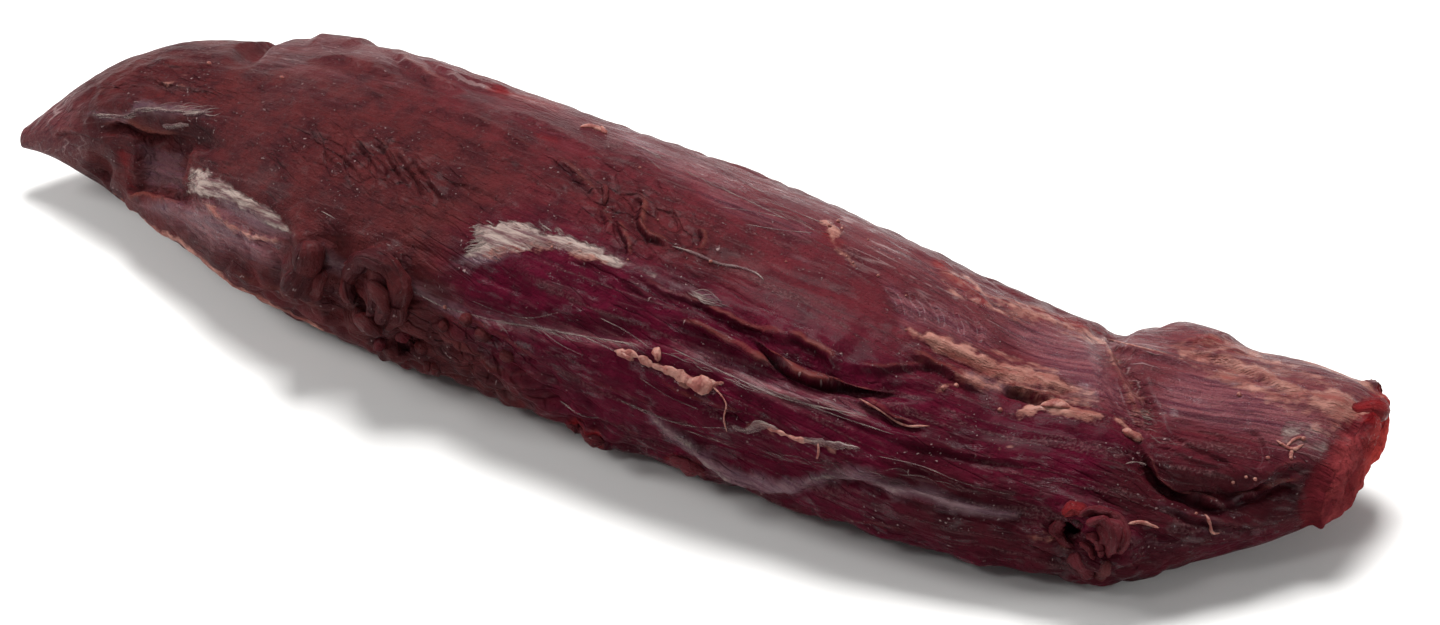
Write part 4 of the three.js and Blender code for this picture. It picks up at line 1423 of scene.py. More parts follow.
class Scraps:
    """Strands, fringes and beads, laid on the finished skin and joined by what they are made of."""

    SIDES = 8
    STEP_MM = 0.45
    HAIR_STEPS = 5
    SPREAD_LENGTHS, SPREAD_GAIN = 2.6, 2.2
    SWELL_LENGTHS, SWELL_GAIN = 1.8, 1.6
    ABOVE_FLOOR_MM = 0.02
    TONE_STRENGTH = 0.8
    FOOT_SHADE_STRENGTH = 0.4

    def __init__(self, tree: BVHTree, view: View) -> None:
        """Keeps the skin to lie on and the view that the paths are given in."""
        self.tree = tree
        self.view = view
        self.drafts = {stuff: Draft() for stuff in Stuff}
        self.grain = Grain(31)

    def on_skin(self, pixel: np.ndarray) -> tuple[np.ndarray, np.ndarray]:
        """Place and outward direction of the skin seen at a view pixel."""
        eye = self.view.eye()
        ray = self.view.ray(pixel)
        place, normal, _, _ = self.tree.ray_cast(Vector(eye.tolist()), Vector(ray.tolist()))
        if place is None:
            beside = eye + ray * VIEW_DISTANCE
            place, normal, _, _ = self.tree.find_nearest(Vector(beside.tolist()))
        normal = np.array(normal)
        if normal @ ray > 0:
            normal = -normal
        return np.array(place), normal

    def lay(self, strand: Strand) -> None:
        """Adds one strand to its draft."""
        corners = rounded_path(strand.path, 8) if len(strand.path) > 2 else np.array(strand.path, float)
        lengths = np.concatenate([[0], np.cumsum(np.linalg.norm(np.diff(corners, axis=0), axis=1))])
        steps = max(self.HAIR_STEPS, round(lengths[-1] / PIXELS_PER_MM / self.STEP_MM))
        at = np.linspace(0, lengths[-1], steps + 1)
        pixels = np.stack([np.interp(at, lengths, corners[:, k]) for k in (0, 1)], axis=1)
        found = [self.on_skin(pixel) for pixel in pixels]
        line = np.stack([place for place, _ in found])
        up = np.stack([normal for _, normal in found])
        for _ in range(2):
            up[1:-1] = up[:-2] + up[1:-1] + up[2:]
            up /= np.linalg.norm(up, axis=1, keepdims=True)
            line[1:-1] = (line[:-2] + 2 * line[1:-1] + line[2:]) / 4
        self.add_blob(strand, line, up)

    def add_blob(self, strand: Strand, line: np.ndarray, up: np.ndarray) -> None:
        """Adds a long blob round a line of places with their outward directions."""
        ahead = np.gradient(line, axis=0)
        ahead /= np.maximum(np.linalg.norm(ahead, axis=1, keepdims=True), 1e-9)
        beside = np.cross(up, ahead)
        beside /= np.maximum(np.linalg.norm(beside, axis=1, keepdims=True), 1e-9)
        up = np.cross(ahead, beside)
        share = np.linspace(0, 1, len(line))
        from_end = np.clip(np.minimum(share, 1 - share) / strand.blunt, 0, 1)
        size = np.sqrt(np.clip(1 - (1 - from_end) ** 2, 0.02, 1))
        seed_shift = 7.0 * np.array([len(strand.name), line[0, 0], line[0, 1]])
        wide_enough = max(strand.half_width, 0.6)
        spread = self.grain.layers(line / (self.SPREAD_LENGTHS * wide_enough) + seed_shift, 2)
        spread = 1 + self.SPREAD_GAIN * strand.lumps * spread
        swell = self.grain.at(line / (self.SWELL_LENGTHS * wide_enough) - seed_shift)
        swell = 1 + self.SWELL_GAIN * strand.lumps * swell
        sides = self.SIDES if strand.half_width < 0.4 else 3 * self.SIDES
        angle = 2 * np.pi * np.arange(sides) / sides
        wide = (strand.half_width * size * spread)[:, None] * np.cos(angle)
        tall = (strand.half_thick * size * swell)[:, None] * np.sin(angle)
        centre = line + up * (strand.lift * size)[:, None]
        points = centre[:, None, :] + wide[..., None] * beside[:, None, :] + tall[..., None] * up[
            :, None, :
        ]
        points = points.reshape(-1, 3)
        out = points - np.repeat(centre, sides, axis=0)
        rough = self.grain.layers(points / (1.5 * max(strand.half_width, 0.5)), 2)
        points = points + out * (strand.lumps * rough)[:, None]
        along = np.repeat(share * len(line) * self.STEP_MM, sides)
        beside_fibre = np.tile(np.cos(angle), len(line)) * strand.half_width
        above_fibre = np.tile(np.sin(angle), len(line)) * strand.half_thick
        fibre = np.stack([along, beside_fibre, above_fibre], axis=1)
        quads, here, there = ring_quads(len(line), sides)
        first, last = len(points), len(points) + 1
        tail = (len(line) - 1) * sides
        starts = np.stack([np.full(sides, first), there, here], axis=1)
        ends = np.stack([np.full(sides, last), tail + here, tail + there], axis=1)
        points = np.concatenate([points, centre[:1], centre[-1:]])
        points[:, 2] = np.maximum(points[:, 2], self.ABOVE_FLOOR_MM)
        fibre = np.concatenate([fibre, fibre[:1], fibre[-1:]])
        # Painted shade under the strand, where it meets the skin, in the crevice layer
        foot = np.concatenate([np.tile(smooth_step(-np.sin(angle), -0.2, 0.5), len(line)), [1.0, 1.0]])
        painted = {
            strand.tone: np.full(len(points), self.TONE_STRENGTH), "crevice": self.FOOT_SHADE_STRENGTH * foot
        }
        layers = painted if strand.stuff is Stuff.LEAN else {}
        self.drafts[strand.stuff].add(points, quads, np.concatenate([starts, ends]), fibre, layers)

    def comb(self, fringe: Fringe, seed: int) -> None:
        """Adds the hairs of one fringe."""
        draw = np.random.default_rng(seed)
        base = rounded_path(fringe.base, 8)
        lengths = np.concatenate([[0], np.cumsum(np.linalg.norm(np.diff(base, axis=0), axis=1))])
        for where in draw.uniform(0, lengths[-1], fringe.count):
            root = np.array(
                [np.interp(where, lengths, base[:, k]) for k in (0, 1)]
            ) + draw.normal(0, 1.2, 2)
            reach = np.array(fringe.reach) * draw.uniform(0.4, 1.3)
            bend = draw.normal(0, 0.12 * np.linalg.norm(reach), 2)
            path = (tuple(root), tuple(root + 0.5 * reach + bend), tuple(root + reach))
            thin = fringe.half_width * draw.uniform(0.6, 1.3)
            self.lay(Strand(fringe.name, fringe.stuff, path, thin, thin, 0.0, lumps=0.1))

    def bead(self, x: float, y: float, radius: float) -> None:
        """Adds one small round bit of fat."""
        reach = radius * PIXELS_PER_MM
        ends = ((x - reach, y - 0.3 * reach), (x + reach, y + 0.3 * reach))
        self.lay(Strand("bead", Stuff.FAT, ends, radius, radius, 0.3 * radius, blunt=0.5))

    def build(self) -> dict[Stuff, bpy.types.Object]:
        """Lays everything.

        Returns:
            One object for each stuff, not yet dressed.
        """
        for strand in STRANDS:
            self.lay(strand)
        for seed, fringe in enumerate(FRINGES):
            self.comb(fringe, seed)
        for x, y, radius in FAT_BEADS:
            self.bead(x, y, radius)
        names = {Stuff.LEAN: "meat_scraps", Stuff.FAT: "fat_scraps", Stuff.SILVER: "fascia_threads"}
        return {stuff: draft.finish(names[stuff]) for stuff, draft in self.drafts.items()}


# Finishes


def linear(hex_colour: str) -> tuple[float, float, float, float]:
    """Turns an sRGB hex colour into the linear colour that shaders take."""
    channels = [int(hex_colour[i:i + 2], 16) / 255 for i in (1, 3, 5)]
    red, green, blue = (c / 12.92 if c <= 0.04045 else ((c + 0.055) / 1.055) ** 2.4 for c in channels)
    return red, green, blue, 1.0


def add_node(
    tree: bpy.types.NodeTree, kind: str, inputs: dict | None = None, **settings: object
) -> bpy.types.Node:
    """Adds a node with its settings, and its inputs as values or links.

    Args:
        tree: The material's node tree.
        kind: Blender's name for the node type.
        inputs: Input name or number to a value, or to the socket that feeds it.
        settings: Properties of the node itself.

    Returns:
        The new node.
    """
    node = tree.nodes.new(kind)
    for name, value in settings.items():
        setattr(node, name, value)
    for key, value in (inputs or {}).items():
        if isinstance(value, bpy.types.NodeSocket):
            tree.links.new(value, node.inputs[key])
        else:
            node.inputs[key].default_value = value
    return node


@dataclass(frozen=True)
class TissueTone:
    """Colour of one tissue: a main tone, a second tone that mottles it, and its gloss."""

    name: str
    main: str
    second: str
    roughness: float


# Lean beef: myoglobin reddens it, brownish where the air has dried it, purple where it is deep
FRESH_LEAN = TissueTone("fresh lean muscle", "#561c23", "#43131b", 0.38)
DRY_LEAN = TissueTone("air-dried lean muscle", "#4d1c1d", "#3a1317", 0.44)
DEEP_LEAN = TissueTone("deep lean muscle", "#48081d", "#370515", 0.3)
DARK_LEAN = TissueTone("lean muscle in the shade of a fold", "#3c1418", "#2c0a10", 0.45)
# Partly the lean under thin fascia, partly painted sheen along the tops
PINK_LEAN_AND_SHEEN = TissueTone("lean muscle under thin fascia with painted sheen", "#6c3337", "#521f28", 0.34)
# Fat is soft and satin, pinkish from the lean below it
FAT_TONE = TissueTone("intermuscular fat", "#9b6d62", "#7a413b", 0.42)
# Silverskin is tendon tissue: pearly, bluish where it is thin
SILVER_TONE = TissueTone("silverskin", "#9c8b83", "#65494b", 0.34)
# Thin fascia, and the painted highlights of the sheen, gleam and glint marks
VEIL_AND_SHEEN_TONE = TissueTone("thin see-through fascia and painted sheen", "#80686c", "#5a404c", 0.26)
# Connective membrane, and the painted highlights of the long top streaks
MEMBRANE_AND_SHEEN_TONE = TissueTone("connective membrane and painted sheen", "#7a464b", "#522431", 0.30)
RED_TONE = TissueTone("freshly cut lean muscle", "#761a1c", "#561015", 0.32)
# Painted shade, laid into hollows, ledge feet, strand undersides and grooves where shade falls
CREVICE_SHADE_TONE = TissueTone("painted shade in crevices", "#23060c", "#1c0308", 0.40)
CUT_TONE = TissueTone("cut muscle face", "#7c3234", "#561b21", 0.4)
FAR_RIM_TONE = TissueTone("freshly cut rim", "#b2403a", "#8c2a29", 0.4)


# Pale threads of fascia, and the raised edge of a layer, dried orange brown and paler as a painted highlight
PALE_THREAD = "#b89c9a"
DRIED_LIP_AND_HIGHLIGHT = "#7d4438"


class Finish:
    """Base of the finishes: an empty material and short ways to add its nodes."""

    NAME = "finish"

    def __init__(self) -> None:
        """Makes an empty material with its node tree."""
        self.material = bpy.data.materials.new(self.NAME)
        self.material.use_nodes = True
        self.tree = self.material.node_tree
        self.tree.nodes.clear()
        self.place = add_node(
            self.tree, "ShaderNodeAttribute", attribute_name="fibre_place"
        ).outputs["Vector"]

    def layer(self, name: str) -> Socket:
        """Value of one painted layer of the mesh."""
        return add_node(self.tree, "ShaderNodeAttribute", attribute_name=name).outputs["Fac"]

    def math(self, operation: str, *values: object) -> Socket:
        """Arithmetic on numbers or sockets."""
        return add_node(
            self.tree, "ShaderNodeMath", dict(enumerate(values)), operation=operation
        ).outputs[0]

    def times(self, first: object, second: object) -> Socket:
        """Product of two values."""
        return self.math("MULTIPLY", first, second)

    def total(self, *values: object) -> object:
        """Sum of several values."""
        result = values[0]
        for value in values[1:]:
            result = self.math("ADD", result, value)
        return result

    def most(self, *values: object) -> object:
        """Largest of several values."""
        result = values[0]
        for value in values[1:]:
            result = self.math("MAXIMUM", result, value)
        return result

    def ramp(
        self, value: object, low: float, high: float, start: object = 0.0, end: object = 1.0
    ) -> Socket:
        """Smooth rise from start at low to end at high."""
        inputs = {"Value": value, "From Min": low, "From Max": high, "To Min": start, "To Max": end}
        return add_node(self.tree, "ShaderNodeMapRange", inputs, interpolation_type="SMOOTHSTEP").outputs[0]

    def mix(self, factor: object, first: object, second: object) -> Socket:
        """Colour mixed from two colours."""
        return add_node(
            self.tree, "ShaderNodeMix", {0: factor, 6: first, 7: second}, data_type="RGBA"
        ).outputs[2]

    def noise(self, place: Socket, spacing: float, detail: float, roughness: float = 0.5) -> Socket:
        """Noise whose bumps lie the given number of millimetres apart."""
        inputs = {"Vector": place, "Scale": 1 / spacing, "Detail": detail, "Roughness": roughness}
        return add_node(self.tree, "ShaderNodeTexNoise", inputs).outputs["Fac"]

    def squeezed(self, stretch: float, slant: float = 0.0) -> Socket:
        """Skin places squeezed along the fibres, after a turn of so many degrees in the view."""
        place = self.place
        if slant:
            axis = tuple(View().axes()[2])
            inputs = {"Vector": place, "Axis": axis, "Angle": math.radians(slant)}
            place = add_node(self.tree, "ShaderNodeVectorRotate", inputs).outputs[0]
        return add_node(
            self.tree, "ShaderNodeMapping", {"Vector": place, "Scale": (1 / stretch, 1.0, 1.0)}
        ).outputs[0]

    def tone(self, tissue: TissueTone, factor: object) -> Socket:
        """Colour of a tissue, mottled between its two tones."""
        return self.mix(factor, linear(tissue.main), linear(tissue.second))

    def contour(self, place: Socket, spacing: float, width: float) -> Socket:
        """Thin winding lines where a smooth noise crosses one half."""
        level = self.math("ABSOLUTE", self.centred(self.noise(place, spacing, 2.0), 1.0))
        return self.ramp(level, 0.0, width, 1.0, 0.0)

    def centred(self, value: object, gain: float) -> Socket:
        """A noise value moved from about one half to about zero, and scaled."""
        return self.times(self.math("SUBTRACT", value, 0.5), gain)

    def close(
        self, colour: object, rough: object, lift: object, depth_mm: float, **inputs: object
    ) -> bpy.types.Material:
        """Ends the material with its bump and its shader.

        Args:
            colour: Base colour.
            rough: Roughness.
            lift: Height that the bump is made from.
            depth_mm: Real height of one unit of lift.
            inputs: Other inputs of the shader, with underscores for spaces.

        Returns:
            The finished material.
        """
        bump = add_node(
            self.tree, "ShaderNodeBump", {"Strength": 1.0, "Distance": depth_mm * MM, "Height": lift}
        )
        settings = {name.replace("_", " "): value for name, value in inputs.items()}
        settings.update({"Base Color": colour, "Roughness": rough, "Normal": bump.outputs[0], "IOR": 1.40})
        shader = add_node(self.tree, "ShaderNodeBsdfPrincipled", settings)
        add_node(self.tree, "ShaderNodeOutputMaterial", {"Surface": shader.outputs[0]})
        return self.material


class RawMuscleFinish(Finish):
    """Raw trimmed beef: lean muscle with fat, silverskin and membrane, moist and satin.

    Muscle fibres gather in bundles about 1 mm wide, which give the skin its fine grain. A pattern's
    name in _MM is the spacing of its marks, and its name in _STRETCH says how many times longer they
    are along the fibres. BUMP_MM is the height of the finest relief, and light from below the surface
    comes back within LIGHT_DEPTH_MM.
    """

    NAME = "raw_beef_muscle"
    SLANT_DEGREES = 28.0
    MOTTLE_MM = 6.0
    BUNDLE_MM, BUNDLE_STRETCH = 0.9, 16.0
    FRAY_MM = 0.7
    FIBRE_MM, FIBRE_STRETCH = 0.62, 9.0
    SPECK_MM = 0.6
    GRIT_MM = 0.45
    FASCIA_LINE_MM, FASCIA_LINE_STRETCH = 5.0, 22.0
    CREASE_MM, CREASE_STRETCH = 5.5, 7.0
    FLAKE_MM, FLAKE_STRETCH = 2.3, 2.4
    GROOVE_MM, GROOVE_STRETCH = 2.6, 7.0
    CALM_MM = 14.0
    THREAD_MM, THREAD_STRETCH = 4.2, 26.0
    SHEER_MM, SHEER_STRETCH = 1.7, 5.0
    THREAD_DEGREES = -4.0
    STAIN_MM, STAIN_STRETCH = 2.2, 3.0
    WET_SPOT_MM, WET_SPOT_STRETCH = 1.3, 3.0
    RAGGED_MM = 1.8
    BUMP_MM = 0.5
    DARKER, PALER = "#1c0408", "#a07878"
    LIGHT_REACH = (1.0, 0.25, 0.18)
    LIGHT_DEPTH_MM = 1.2

    def __init__(self) -> None:
        """Makes the patterns and reads the layers that several tissues share."""
        super().__init__()
        along = self.squeezed(self.BUNDLE_STRETCH)
        tilted = self.squeezed(self.FIBRE_STRETCH, 0.4 * self.SLANT_DEGREES)
        self.mottle = self.noise(self.place, self.MOTTLE_MM, 6.0, 0.65)
        self.grain = self.noise(along, self.BUNDLE_MM, 4.0, 0.65)
        self.fray = self.noise(along, self.FRAY_MM, 4.0, 0.75)
        self.fibres = self.noise(tilted, self.FIBRE_MM, 3.0, 0.6)
        self.specks = self.ramp(self.noise(self.place, self.SPECK_MM, 1.0, 0.4), 0.68, 0.76)
        self.grit = self.noise(self.place, self.GRIT_MM, 4.0, 0.7)
        self.patchy = self.ramp(self.mottle, 0.38, 0.62)
        self.streaky = self.ramp(self.grain, 0.38, 0.62)
        self.dry, self.deep, self.pink = (self.layer(name) for name in ("dry", "deep", "pink"))
        self.groove = self.bundle_groove()
        self.cracked, self.creased, self.lined, self.threads = self.lines()

    def bundle_groove(self) -> Socket:
        """Grooves between bundles, strong in some places and nearly gone in others."""
        place = self.squeezed(self.GROOVE_STRETCH, 0.5 * self.SLANT_DEGREES)
        calm = self.ramp(self.noise(self.place, self.CALM_MM, 2.0), 0.44, 0.58, 0.15, 1.0)
        return self.times(self.contour(place, self.GROOVE_MM, 0.05), calm)

    def lines(self) -> tuple[Socket, Socket, Socket, Socket]:
        """Cracks of scaly skin, creases of dry skin, lines of fascia and pale threads."""
        flakes_place = self.squeezed(self.FLAKE_STRETCH, self.SLANT_DEGREES)
        inputs = {"Vector": flakes_place, "Scale": 1 / self.FLAKE_MM}
        flakes = add_node(self.tree, "ShaderNodeTexVoronoi", inputs, feature="DISTANCE_TO_EDGE")
        cracks = self.ramp(flakes.outputs["Distance"], 0.0, 0.12, 1.0, 0.0)
        cracked = self.times(cracks, self.layer("scaly"))

        creases = self.contour(self.squeezed(self.CREASE_STRETCH, self.SLANT_DEGREES), self.CREASE_MM, 0.03)
        creased = self.times(
            creases, self.times(self.ramp(self.dry, 0.2, 0.8), self.ramp(self.mottle, 0.5, 0.62))
        )
        lines = self.contour(self.squeezed(self.FASCIA_LINE_STRETCH), self.FASCIA_LINE_MM, 0.022)
        moist = self.ramp(self.dry, 0.3, 0.7, 1.0, 0.0)
        lined = self.times(lines, self.times(moist, self.ramp(self.grit, 0.4, 0.6)))

        threads = self.contour(
            self.squeezed(self.THREAD_STRETCH, self.THREAD_DEGREES), self.THREAD_MM, 0.022
        )
        where = self.times(self.ramp(self.pink, 0.1, 0.7, 0.1, 1.0), self.ramp(self.mottle, 0.42, 0.56))
        return cracked, creased, lined, self.times(threads, where)

    def lean(self) -> Socket:
        """Colour of the lean muscle, with its grain, specks, threads, lips and lines."""
        mottle, grain = self.mottle, self.grain
        dry = self.ramp(self.total(self.dry, self.centred(mottle, 0.6)), 0.2, 0.85)
        deep = self.ramp(self.total(self.deep, self.centred(grain, 0.6)), 0.2, 0.85)
        pink = self.ramp(
            self.total(self.pink, self.centred(mottle, 0.3), self.centred(grain, 0.6)), 0.15, 1.0
        )
        dark = self.ramp(self.total(self.layer("dark"), self.centred(mottle, 0.5)), 0.25, 1.0, 0.0, 0.85)
        colour = self.tone(FRESH_LEAN, self.patchy)
        colour = self.mix(dry, colour, self.tone(DRY_LEAN, self.patchy))
        colour = self.mix(deep, colour, self.tone(DEEP_LEAN, self.patchy))
        # Pink wash: lean under thin fascia, partly painted sheen on the tops
        colour = self.mix(pink, colour, self.tone(PINK_LEAN_AND_SHEEN, self.streaky))
        colour = self.mix(dark, colour, self.tone(DARK_LEAN, self.patchy))

        darker = self.mix(0.6, colour, linear(self.DARKER))
        paler = self.mix(0.3, colour, linear(self.PALER))
        gritty = self.times(
            self.ramp(self.grit, 0.55, 0.8, 0.0, 0.7), self.ramp(self.deep, 0.0, 1.0, 1.0, 0.15)
        )
        specks = self.times(self.specks, self.ramp(mottle, 0.45, 0.6, 0.0, 0.5))
        # The ledges' lip: dried orange brown, partly a painted highlight, weaker where the dark wash paints
        # shade
        shaded = self.times(self.layer("dark"), -0.4)
        lip = self.ramp(
            self.total(self.layer("lip"), self.centred(mottle, 0.8), shaded), 0.25, 1.0, 0.0, 0.36
        )
        marks = (
            (self.ramp(grain, 0.5, 0.7, 0.0, 0.3), darker),
            (gritty, paler),
            (self.ramp(self.fibres, 0.56, 0.74, 0.0, 0.28), darker),
            (self.ramp(self.fibres, 0.44, 0.28, 0.0, 0.16), paler),
            (specks, linear(PALE_THREAD)),
            (self.times(self.threads, 0.42), linear(PALE_THREAD)),
            (lip, linear(DRIED_LIP_AND_HIGHLIGHT)),
            (self.times(self.lined, 0.6), paler),
            # Painted shade: bundle grooves, cracks and creases darkened where shade falls in them
            (self.times(self.groove, 0.14), darker),
            (self.times(self.most(self.cracked, self.creased), 0.4), darker),
        )
        for strength, mark in marks:
            colour = self.mix(strength, colour, mark)
        return colour

    def cut(self) -> tuple[Socket, Socket]:
        """Where the cut face is, and its colour."""
        cut_face = self.total(
            self.layer("cut_face"), self.centred(self.mottle, 1.1), self.centred(self.grain, 0.5)
        )
        far_rim = self.ramp(self.total(self.layer("far_rim"), self.centred(self.mottle, 0.9)), 0.3, 0.95)
        colour = self.mix(far_rim, self.tone(CUT_TONE, self.patchy), self.tone(FAR_RIM_TONE, self.patchy))
        return self.ramp(cut_face, 0.5, 0.95), colour

    def torn(self, layer: Socket, ragged: object) -> object:
        """A painted layer with ragged edges, and clean where nothing is painted."""
        return self.total(layer, self.times(ragged, self.ramp(layer, 0.0, 0.3)))

    def shine(self, film: Socket, veil: Socket, cut: Socket) -> tuple[Socket, Socket]:
        """Roughness and specular level.

        Args:
            film: Where the membrane is.
            veil: Where thin fascia and the painted highlights of the veil marks are.
            cut: Where the cut face is.

        Returns:
            The roughness, then the specular level.
        """
        rough = self.ramp(self.dry, 0.1, 0.9, FRESH_LEAN.roughness, DRY_LEAN.roughness)
        wet = self.ramp(self.deep, 0.1, 0.9, 0.0, FRESH_LEAN.roughness - DEEP_LEAN.roughness)
        rough = self.math("SUBTRACT", rough, wet)
        rough = self.total(rough, self.centred(self.grit, 0.3), self.times(film, -0.12))
        glossy = self.most(film, self.pink, self.times(self.dry, 0.18), veil)
        gloss = self.ramp(glossy, 0.1, 0.9, self.ramp(self.deep, 0.0, 1.0, 0.08, 0.02), 0.2)
        gloss = self.math("SUBTRACT", gloss, self.times(cut, 0.22))

        place = self.squeezed(self.WET_SPOT_STRETCH)
        moist = self.ramp(self.most(self.deep, film, self.pink), 0.2, 0.8, 0.12, 1.0)
        wet_spots = self.times(self.ramp(self.noise(place, self.WET_SPOT_MM, 2.0), 0.55, 0.68), moist)
        gloss = self.most(self.total(gloss, self.times(wet_spots, 0.24)), 0.0)
        return self.math("SUBTRACT", rough, self.times(wet_spots, 0.17)), gloss

    def lift(self, silver: Socket, fat: Socket, stain: Socket) -> object:
        """Height of the skin's finest relief.

        Args:
            silver: Where silverskin is.
            fat: Where fat is.
            stain: The fat's stain, which is lower.

        Returns:
            The height, in units of BUMP_MM.
        """
        deep = self.deep
        parts = (
            (self.grain, 0.55),
            (self.mottle, 2.0),
            (self.threads, 0.35),
            (self.fibres, self.ramp(deep, 0.0, 1.0, -0.6, -0.25)),
            (self.specks, 0.5),
            (self.groove, -0.42),
            (self.grit, self.ramp(deep, 0.0, 1.0, 0.8, 0.45)),
            (self.cracked, -0.8),
            (self.creased, -0.6),
            (self.lined, 0.3),
        )
        muscle = self.total(*(self.times(pattern, height) for pattern, height in parts))
        bare = self.ramp(self.most(silver, fat), 0.0, 1.0, 1.0, 0.25)
        fat_lift = self.times(fat, self.ramp(stain, 0.0, 1.0, 1.1, 0.5))
        return self.total(self.times(muscle, bare), fat_lift, self.times(silver, 0.4))

    def build(self) -> bpy.types.Material:
        """Joins the tissues into one finish.

        Returns:
            The finished material.
        """
        mottle, fray = self.mottle, self.fray
        cut, cut_colour = self.cut()
        colour = self.mix(cut, self.lean(), cut_colour)
        # Membrane, and the painted highlights of the long top streaks
        film = self.ramp(self.total(self.layer("membrane"), self.centred(fray, 1.1)), 0.3, 1.0, 0.0, 0.8)
        colour = self.mix(film, colour, self.tone(MEMBRANE_AND_SHEEN_TONE, self.streaky))
        raw = self.total(
            self.layer("raw_red"), self.times(self.layer("reddish"), 0.5), self.centred(mottle, 0.7)
        )
        colour = self.mix(self.ramp(raw, 0.3, 0.85, 0.0, 0.9), colour, self.tone(RED_TONE, self.streaky))
        # Thin fascia, and the painted highlights of the sheen, gleam and glint marks
        veil = self.ramp(self.torn(self.layer("veil"), self.centred(fray, 0.9)), 0.2, 1.0, 0.0, 0.6)
        colour = self.mix(veil, colour, self.tone(VEIL_AND_SHEEN_TONE, self.ramp(fray, 0.4, 0.6)))

        rags = self.centred(self.noise(self.place, self.RAGGED_MM, 3.0), 0.7)
        ragged = self.total(self.centred(fray, 0.6), self.centred(mottle, 0.9), rags)
        silver = self.ramp(self.torn(self.layer("silverskin"), ragged), 0.36, 0.66, 0.0, 0.92)
        sheer = self.noise(self.squeezed(self.SHEER_STRETCH, self.THREAD_DEGREES), self.SHEER_MM, 4.0, 0.7)
        silver = self.times(silver, self.ramp(sheer, 0.4, 0.6, 1.0, 0.62))
        pearly = self.ramp(self.total(fray, self.centred(sheer, 0.6)), 0.38, 0.66)
        colour = self.mix(silver, colour, self.tone(SILVER_TONE, pearly))
        fat = self.ramp(self.torn(self.layer("fat"), ragged), 0.32, 0.68, 0.0, 0.95)
        stain = self.ramp(
            self.noise(self.squeezed(self.STAIN_STRETCH), self.STAIN_MM, 5.0, 0.7), 0.36, 0.66
        )
        colour = self.mix(fat, colour, self.tone(FAT_TONE, stain))
        # Painted shade: the crevice layer darkens hollows, the feet of ledges and strands, and grooves
        shade = self.ramp(
            self.total(self.layer("crevice"), self.centred(mottle, 0.6)), 0.4, 0.95, 0.0, 0.85
        )
        colour = self.mix(shade, colour, linear(CREVICE_SHADE_TONE.main))

        rough, gloss = self.shine(film, veil, cut)
        return self.close(
            colour, rough, self.lift(silver, fat, stain), self.BUMP_MM,
            Specular_IOR_Level=gloss, Coat_Weight=self.ramp(film, 0.0, 1.0, 0.02, 0.08), Coat_Roughness=0.2,
            Subsurface_Weight=0.04, Subsurface_Radius=self.LIGHT_REACH,
            Subsurface_Scale=self.LIGHT_DEPTH_MM * MM,
        )


class FatFinish(Finish):
    """Soft pinkish fat, lumpy, with a faint pink stain from the lean below."""

    NAME = "beef_fat"
    STAIN_MM = 1.6
    GRIT_MM = 0.4
    BUMP_MM = 0.3
    LIGHT_REACH = (1.0, 0.5, 0.35)
    LIGHT_DEPTH_MM = 1.0

    def build(self) -> bpy.types.Material:
        """Makes the finish."""
        stain = self.noise(self.place, self.STAIN_MM, 4.0, 0.6)
        grit = self.noise(self.place, self.GRIT_MM, 3.0, 0.6)
        colour = self.tone(FAT_TONE, self.ramp(stain, 0.4, 0.62))
        rough = self.total(FAT_TONE.roughness, self.centred(grit, 0.3))
        return self.close(
            colour, rough, self.total(stain, self.times(grit, 0.5)), self.BUMP_MM,
            Specular_IOR_Level=0.3, Subsurface_Weight=0.15,
            Subsurface_Radius=self.LIGHT_REACH, Subsurface_Scale=self.LIGHT_DEPTH_MM * MM,
        )


class FasciaFinish(Finish):
    """Thin pearly threads of connective tissue, half see-through."""

    NAME = "beef_fascia"
    STREAK_MM, STREAK_STRETCH = 0.5, 8.0
    BUMP_MM = 0.1

    def build(self) -> bpy.types.Material:
        """Makes the finish."""
        streaks = self.noise(self.squeezed(self.STREAK_STRETCH), self.STREAK_MM, 3.0, 0.6)
        colour = self.tone(SILVER_TONE, self.ramp(streaks, 0.35, 0.6))
        return self.close(
            colour, SILVER_TONE.roughness, streaks, self.BUMP_MM, Specular_IOR_Level=0.3, Alpha=0.5
        )


# Studio


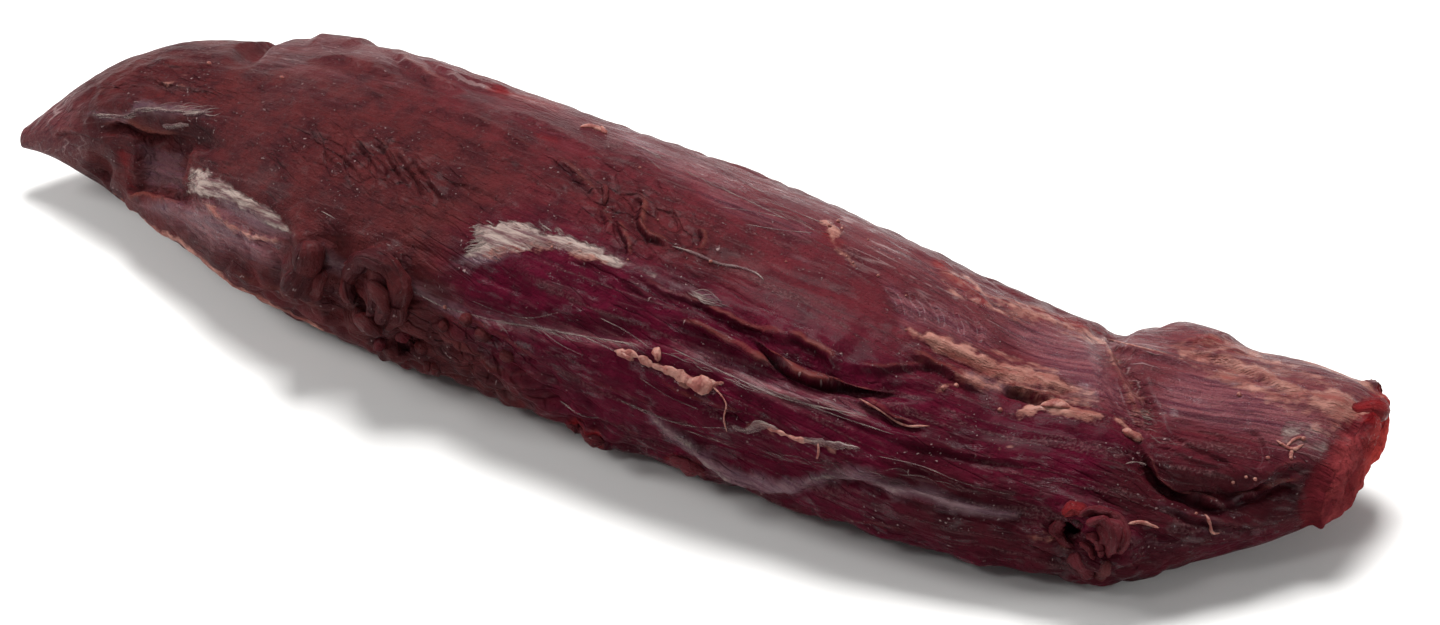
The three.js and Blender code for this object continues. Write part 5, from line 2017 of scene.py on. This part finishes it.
class Studio:
    """Camera at the reference view, a pale floor and soft light."""

    FLOOR_COLOUR = "#ecebe9"
    FLOOR_HALF = 3.0
    FLOOR_DROP = 0.0002
    FLOOR_ROUGHNESS = 0.9
    ROOM_COLOUR = "#f2f3f5"
    ROOM_STRENGTH = 0.19
    # Name, place and size in metres, and power in watts
    SOFTBOXES = (
        ("overhead", (-0.15, 0.30, 0.95), 0.42, 15.8),
        ("left", (-0.8, -0.35, 0.6), 0.3, 5.0),
        ("right", (0.9, 0.3, 0.35), 0.3, 2.6),
        ("front", (-0.25, -0.8, 0.9), 0.2, 1.9),
    )

    def __init__(self, view: View) -> None:
        """Keeps the view."""
        self.view = view

    def camera(self) -> None:
        """Places the camera."""
        data = bpy.data.cameras.new("view")
        data.sensor_width = SENSOR_MM
        data.lens = VIEW_DISTANCE * PIXELS_PER_MM * SENSOR_MM / VIEW_SIZE[0]
        data.clip_start, data.clip_end = 0.01, 10.0
        camera = bpy.data.objects.new("view", data)
        axes = Matrix(self.view.axes().T.tolist()).to_4x4()
        axes.translation = Vector((self.view.eye() * MM).tolist())
        camera.matrix_world = axes
        bpy.context.scene.collection.objects.link(camera)
        bpy.context.scene.camera = camera

    def floor(self) -> None:
        """Lays the pale floor."""
        mesh = bpy.data.meshes.new("floor")
        corners = ((-1, -1), (1, -1), (1, 1), (-1, 1))
        places = [(x * self.FLOOR_HALF, y * self.FLOOR_HALF, 0) for x, y in corners]
        mesh.from_pydata(places, [], [(0, 1, 2, 3)])
        floor = bpy.data.objects.new("floor", mesh)
        floor.location.z = -self.FLOOR_DROP
        bpy.context.scene.collection.objects.link(floor)
        material = bpy.data.materials.new("pale_floor")
        material.use_nodes = True
        shader = material.node_tree.nodes["Principled BSDF"]
        shader.inputs["Base Color"].default_value = linear(self.FLOOR_COLOUR)
        shader.inputs["Roughness"].default_value = self.FLOOR_ROUGHNESS
        mesh.materials.append(material)

    def softbox(self, name: str, place: Place3, size: float, watts: float) -> None:
        """Hangs a square soft light that faces the muscle."""
        data = bpy.data.lights.new(name, "AREA")
        data.size = size
        data.energy = watts
        lamp = bpy.data.objects.new(name, data)
        lamp.location = place
        lamp.rotation_euler = (-Vector(place)).to_track_quat("-Z", "Y").to_euler()
        bpy.context.scene.collection.objects.link(lamp)

    def light(self) -> None:
        """Sets a dim room and the soft lights."""
        world = bpy.data.worlds.new("studio")
        world.use_nodes = True
        background = world.node_tree.nodes["Background"]
        background.inputs["Color"].default_value = linear(self.ROOM_COLOUR)
        background.inputs["Strength"].default_value = self.ROOM_STRENGTH
        bpy.context.scene.world = world
        for softbox in self.SOFTBOXES:
            self.softbox(*softbox)
        bpy.context.scene.view_settings.view_transform = "Standard"


def dress(piece: bpy.types.Object, material: bpy.types.Material) -> None:
    """Gives a piece its finish and its body.

    Args:
        piece: The object to finish.
        material: Its material.
    """
    piece.data.materials.append(material)
    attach(piece, "root")
    LOG.info("%s: %d faces", piece.name, len(piece.data.polygons))


def write_sizes() -> None:
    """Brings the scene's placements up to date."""
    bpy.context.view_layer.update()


def main() -> None:
    """Builds the muscle, then the studio round it."""
    logging.basicConfig(level=logging.INFO, format="%(name)s: %(message)s")
    view = View()
    skin = TenderSkin(Muscle(), view)
    muscle_finish = RawMuscleFinish().build()
    for piece in skin.build():
        dress(piece, muscle_finish)
        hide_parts(NODE)
    finishes = {
        Stuff.LEAN: muscle_finish,
        Stuff.FAT: FatFinish().build(),
        Stuff.SILVER: FasciaFinish().build(),
    }
    for stuff, scrap in Scraps(skin.tree, view).build().items():
        dress(scrap, finishes[stuff])
    studio = Studio(view)
    studio.camera()
    studio.floor()
    studio.light()
    write_sizes()


if __name__ == "__main__":
    main()
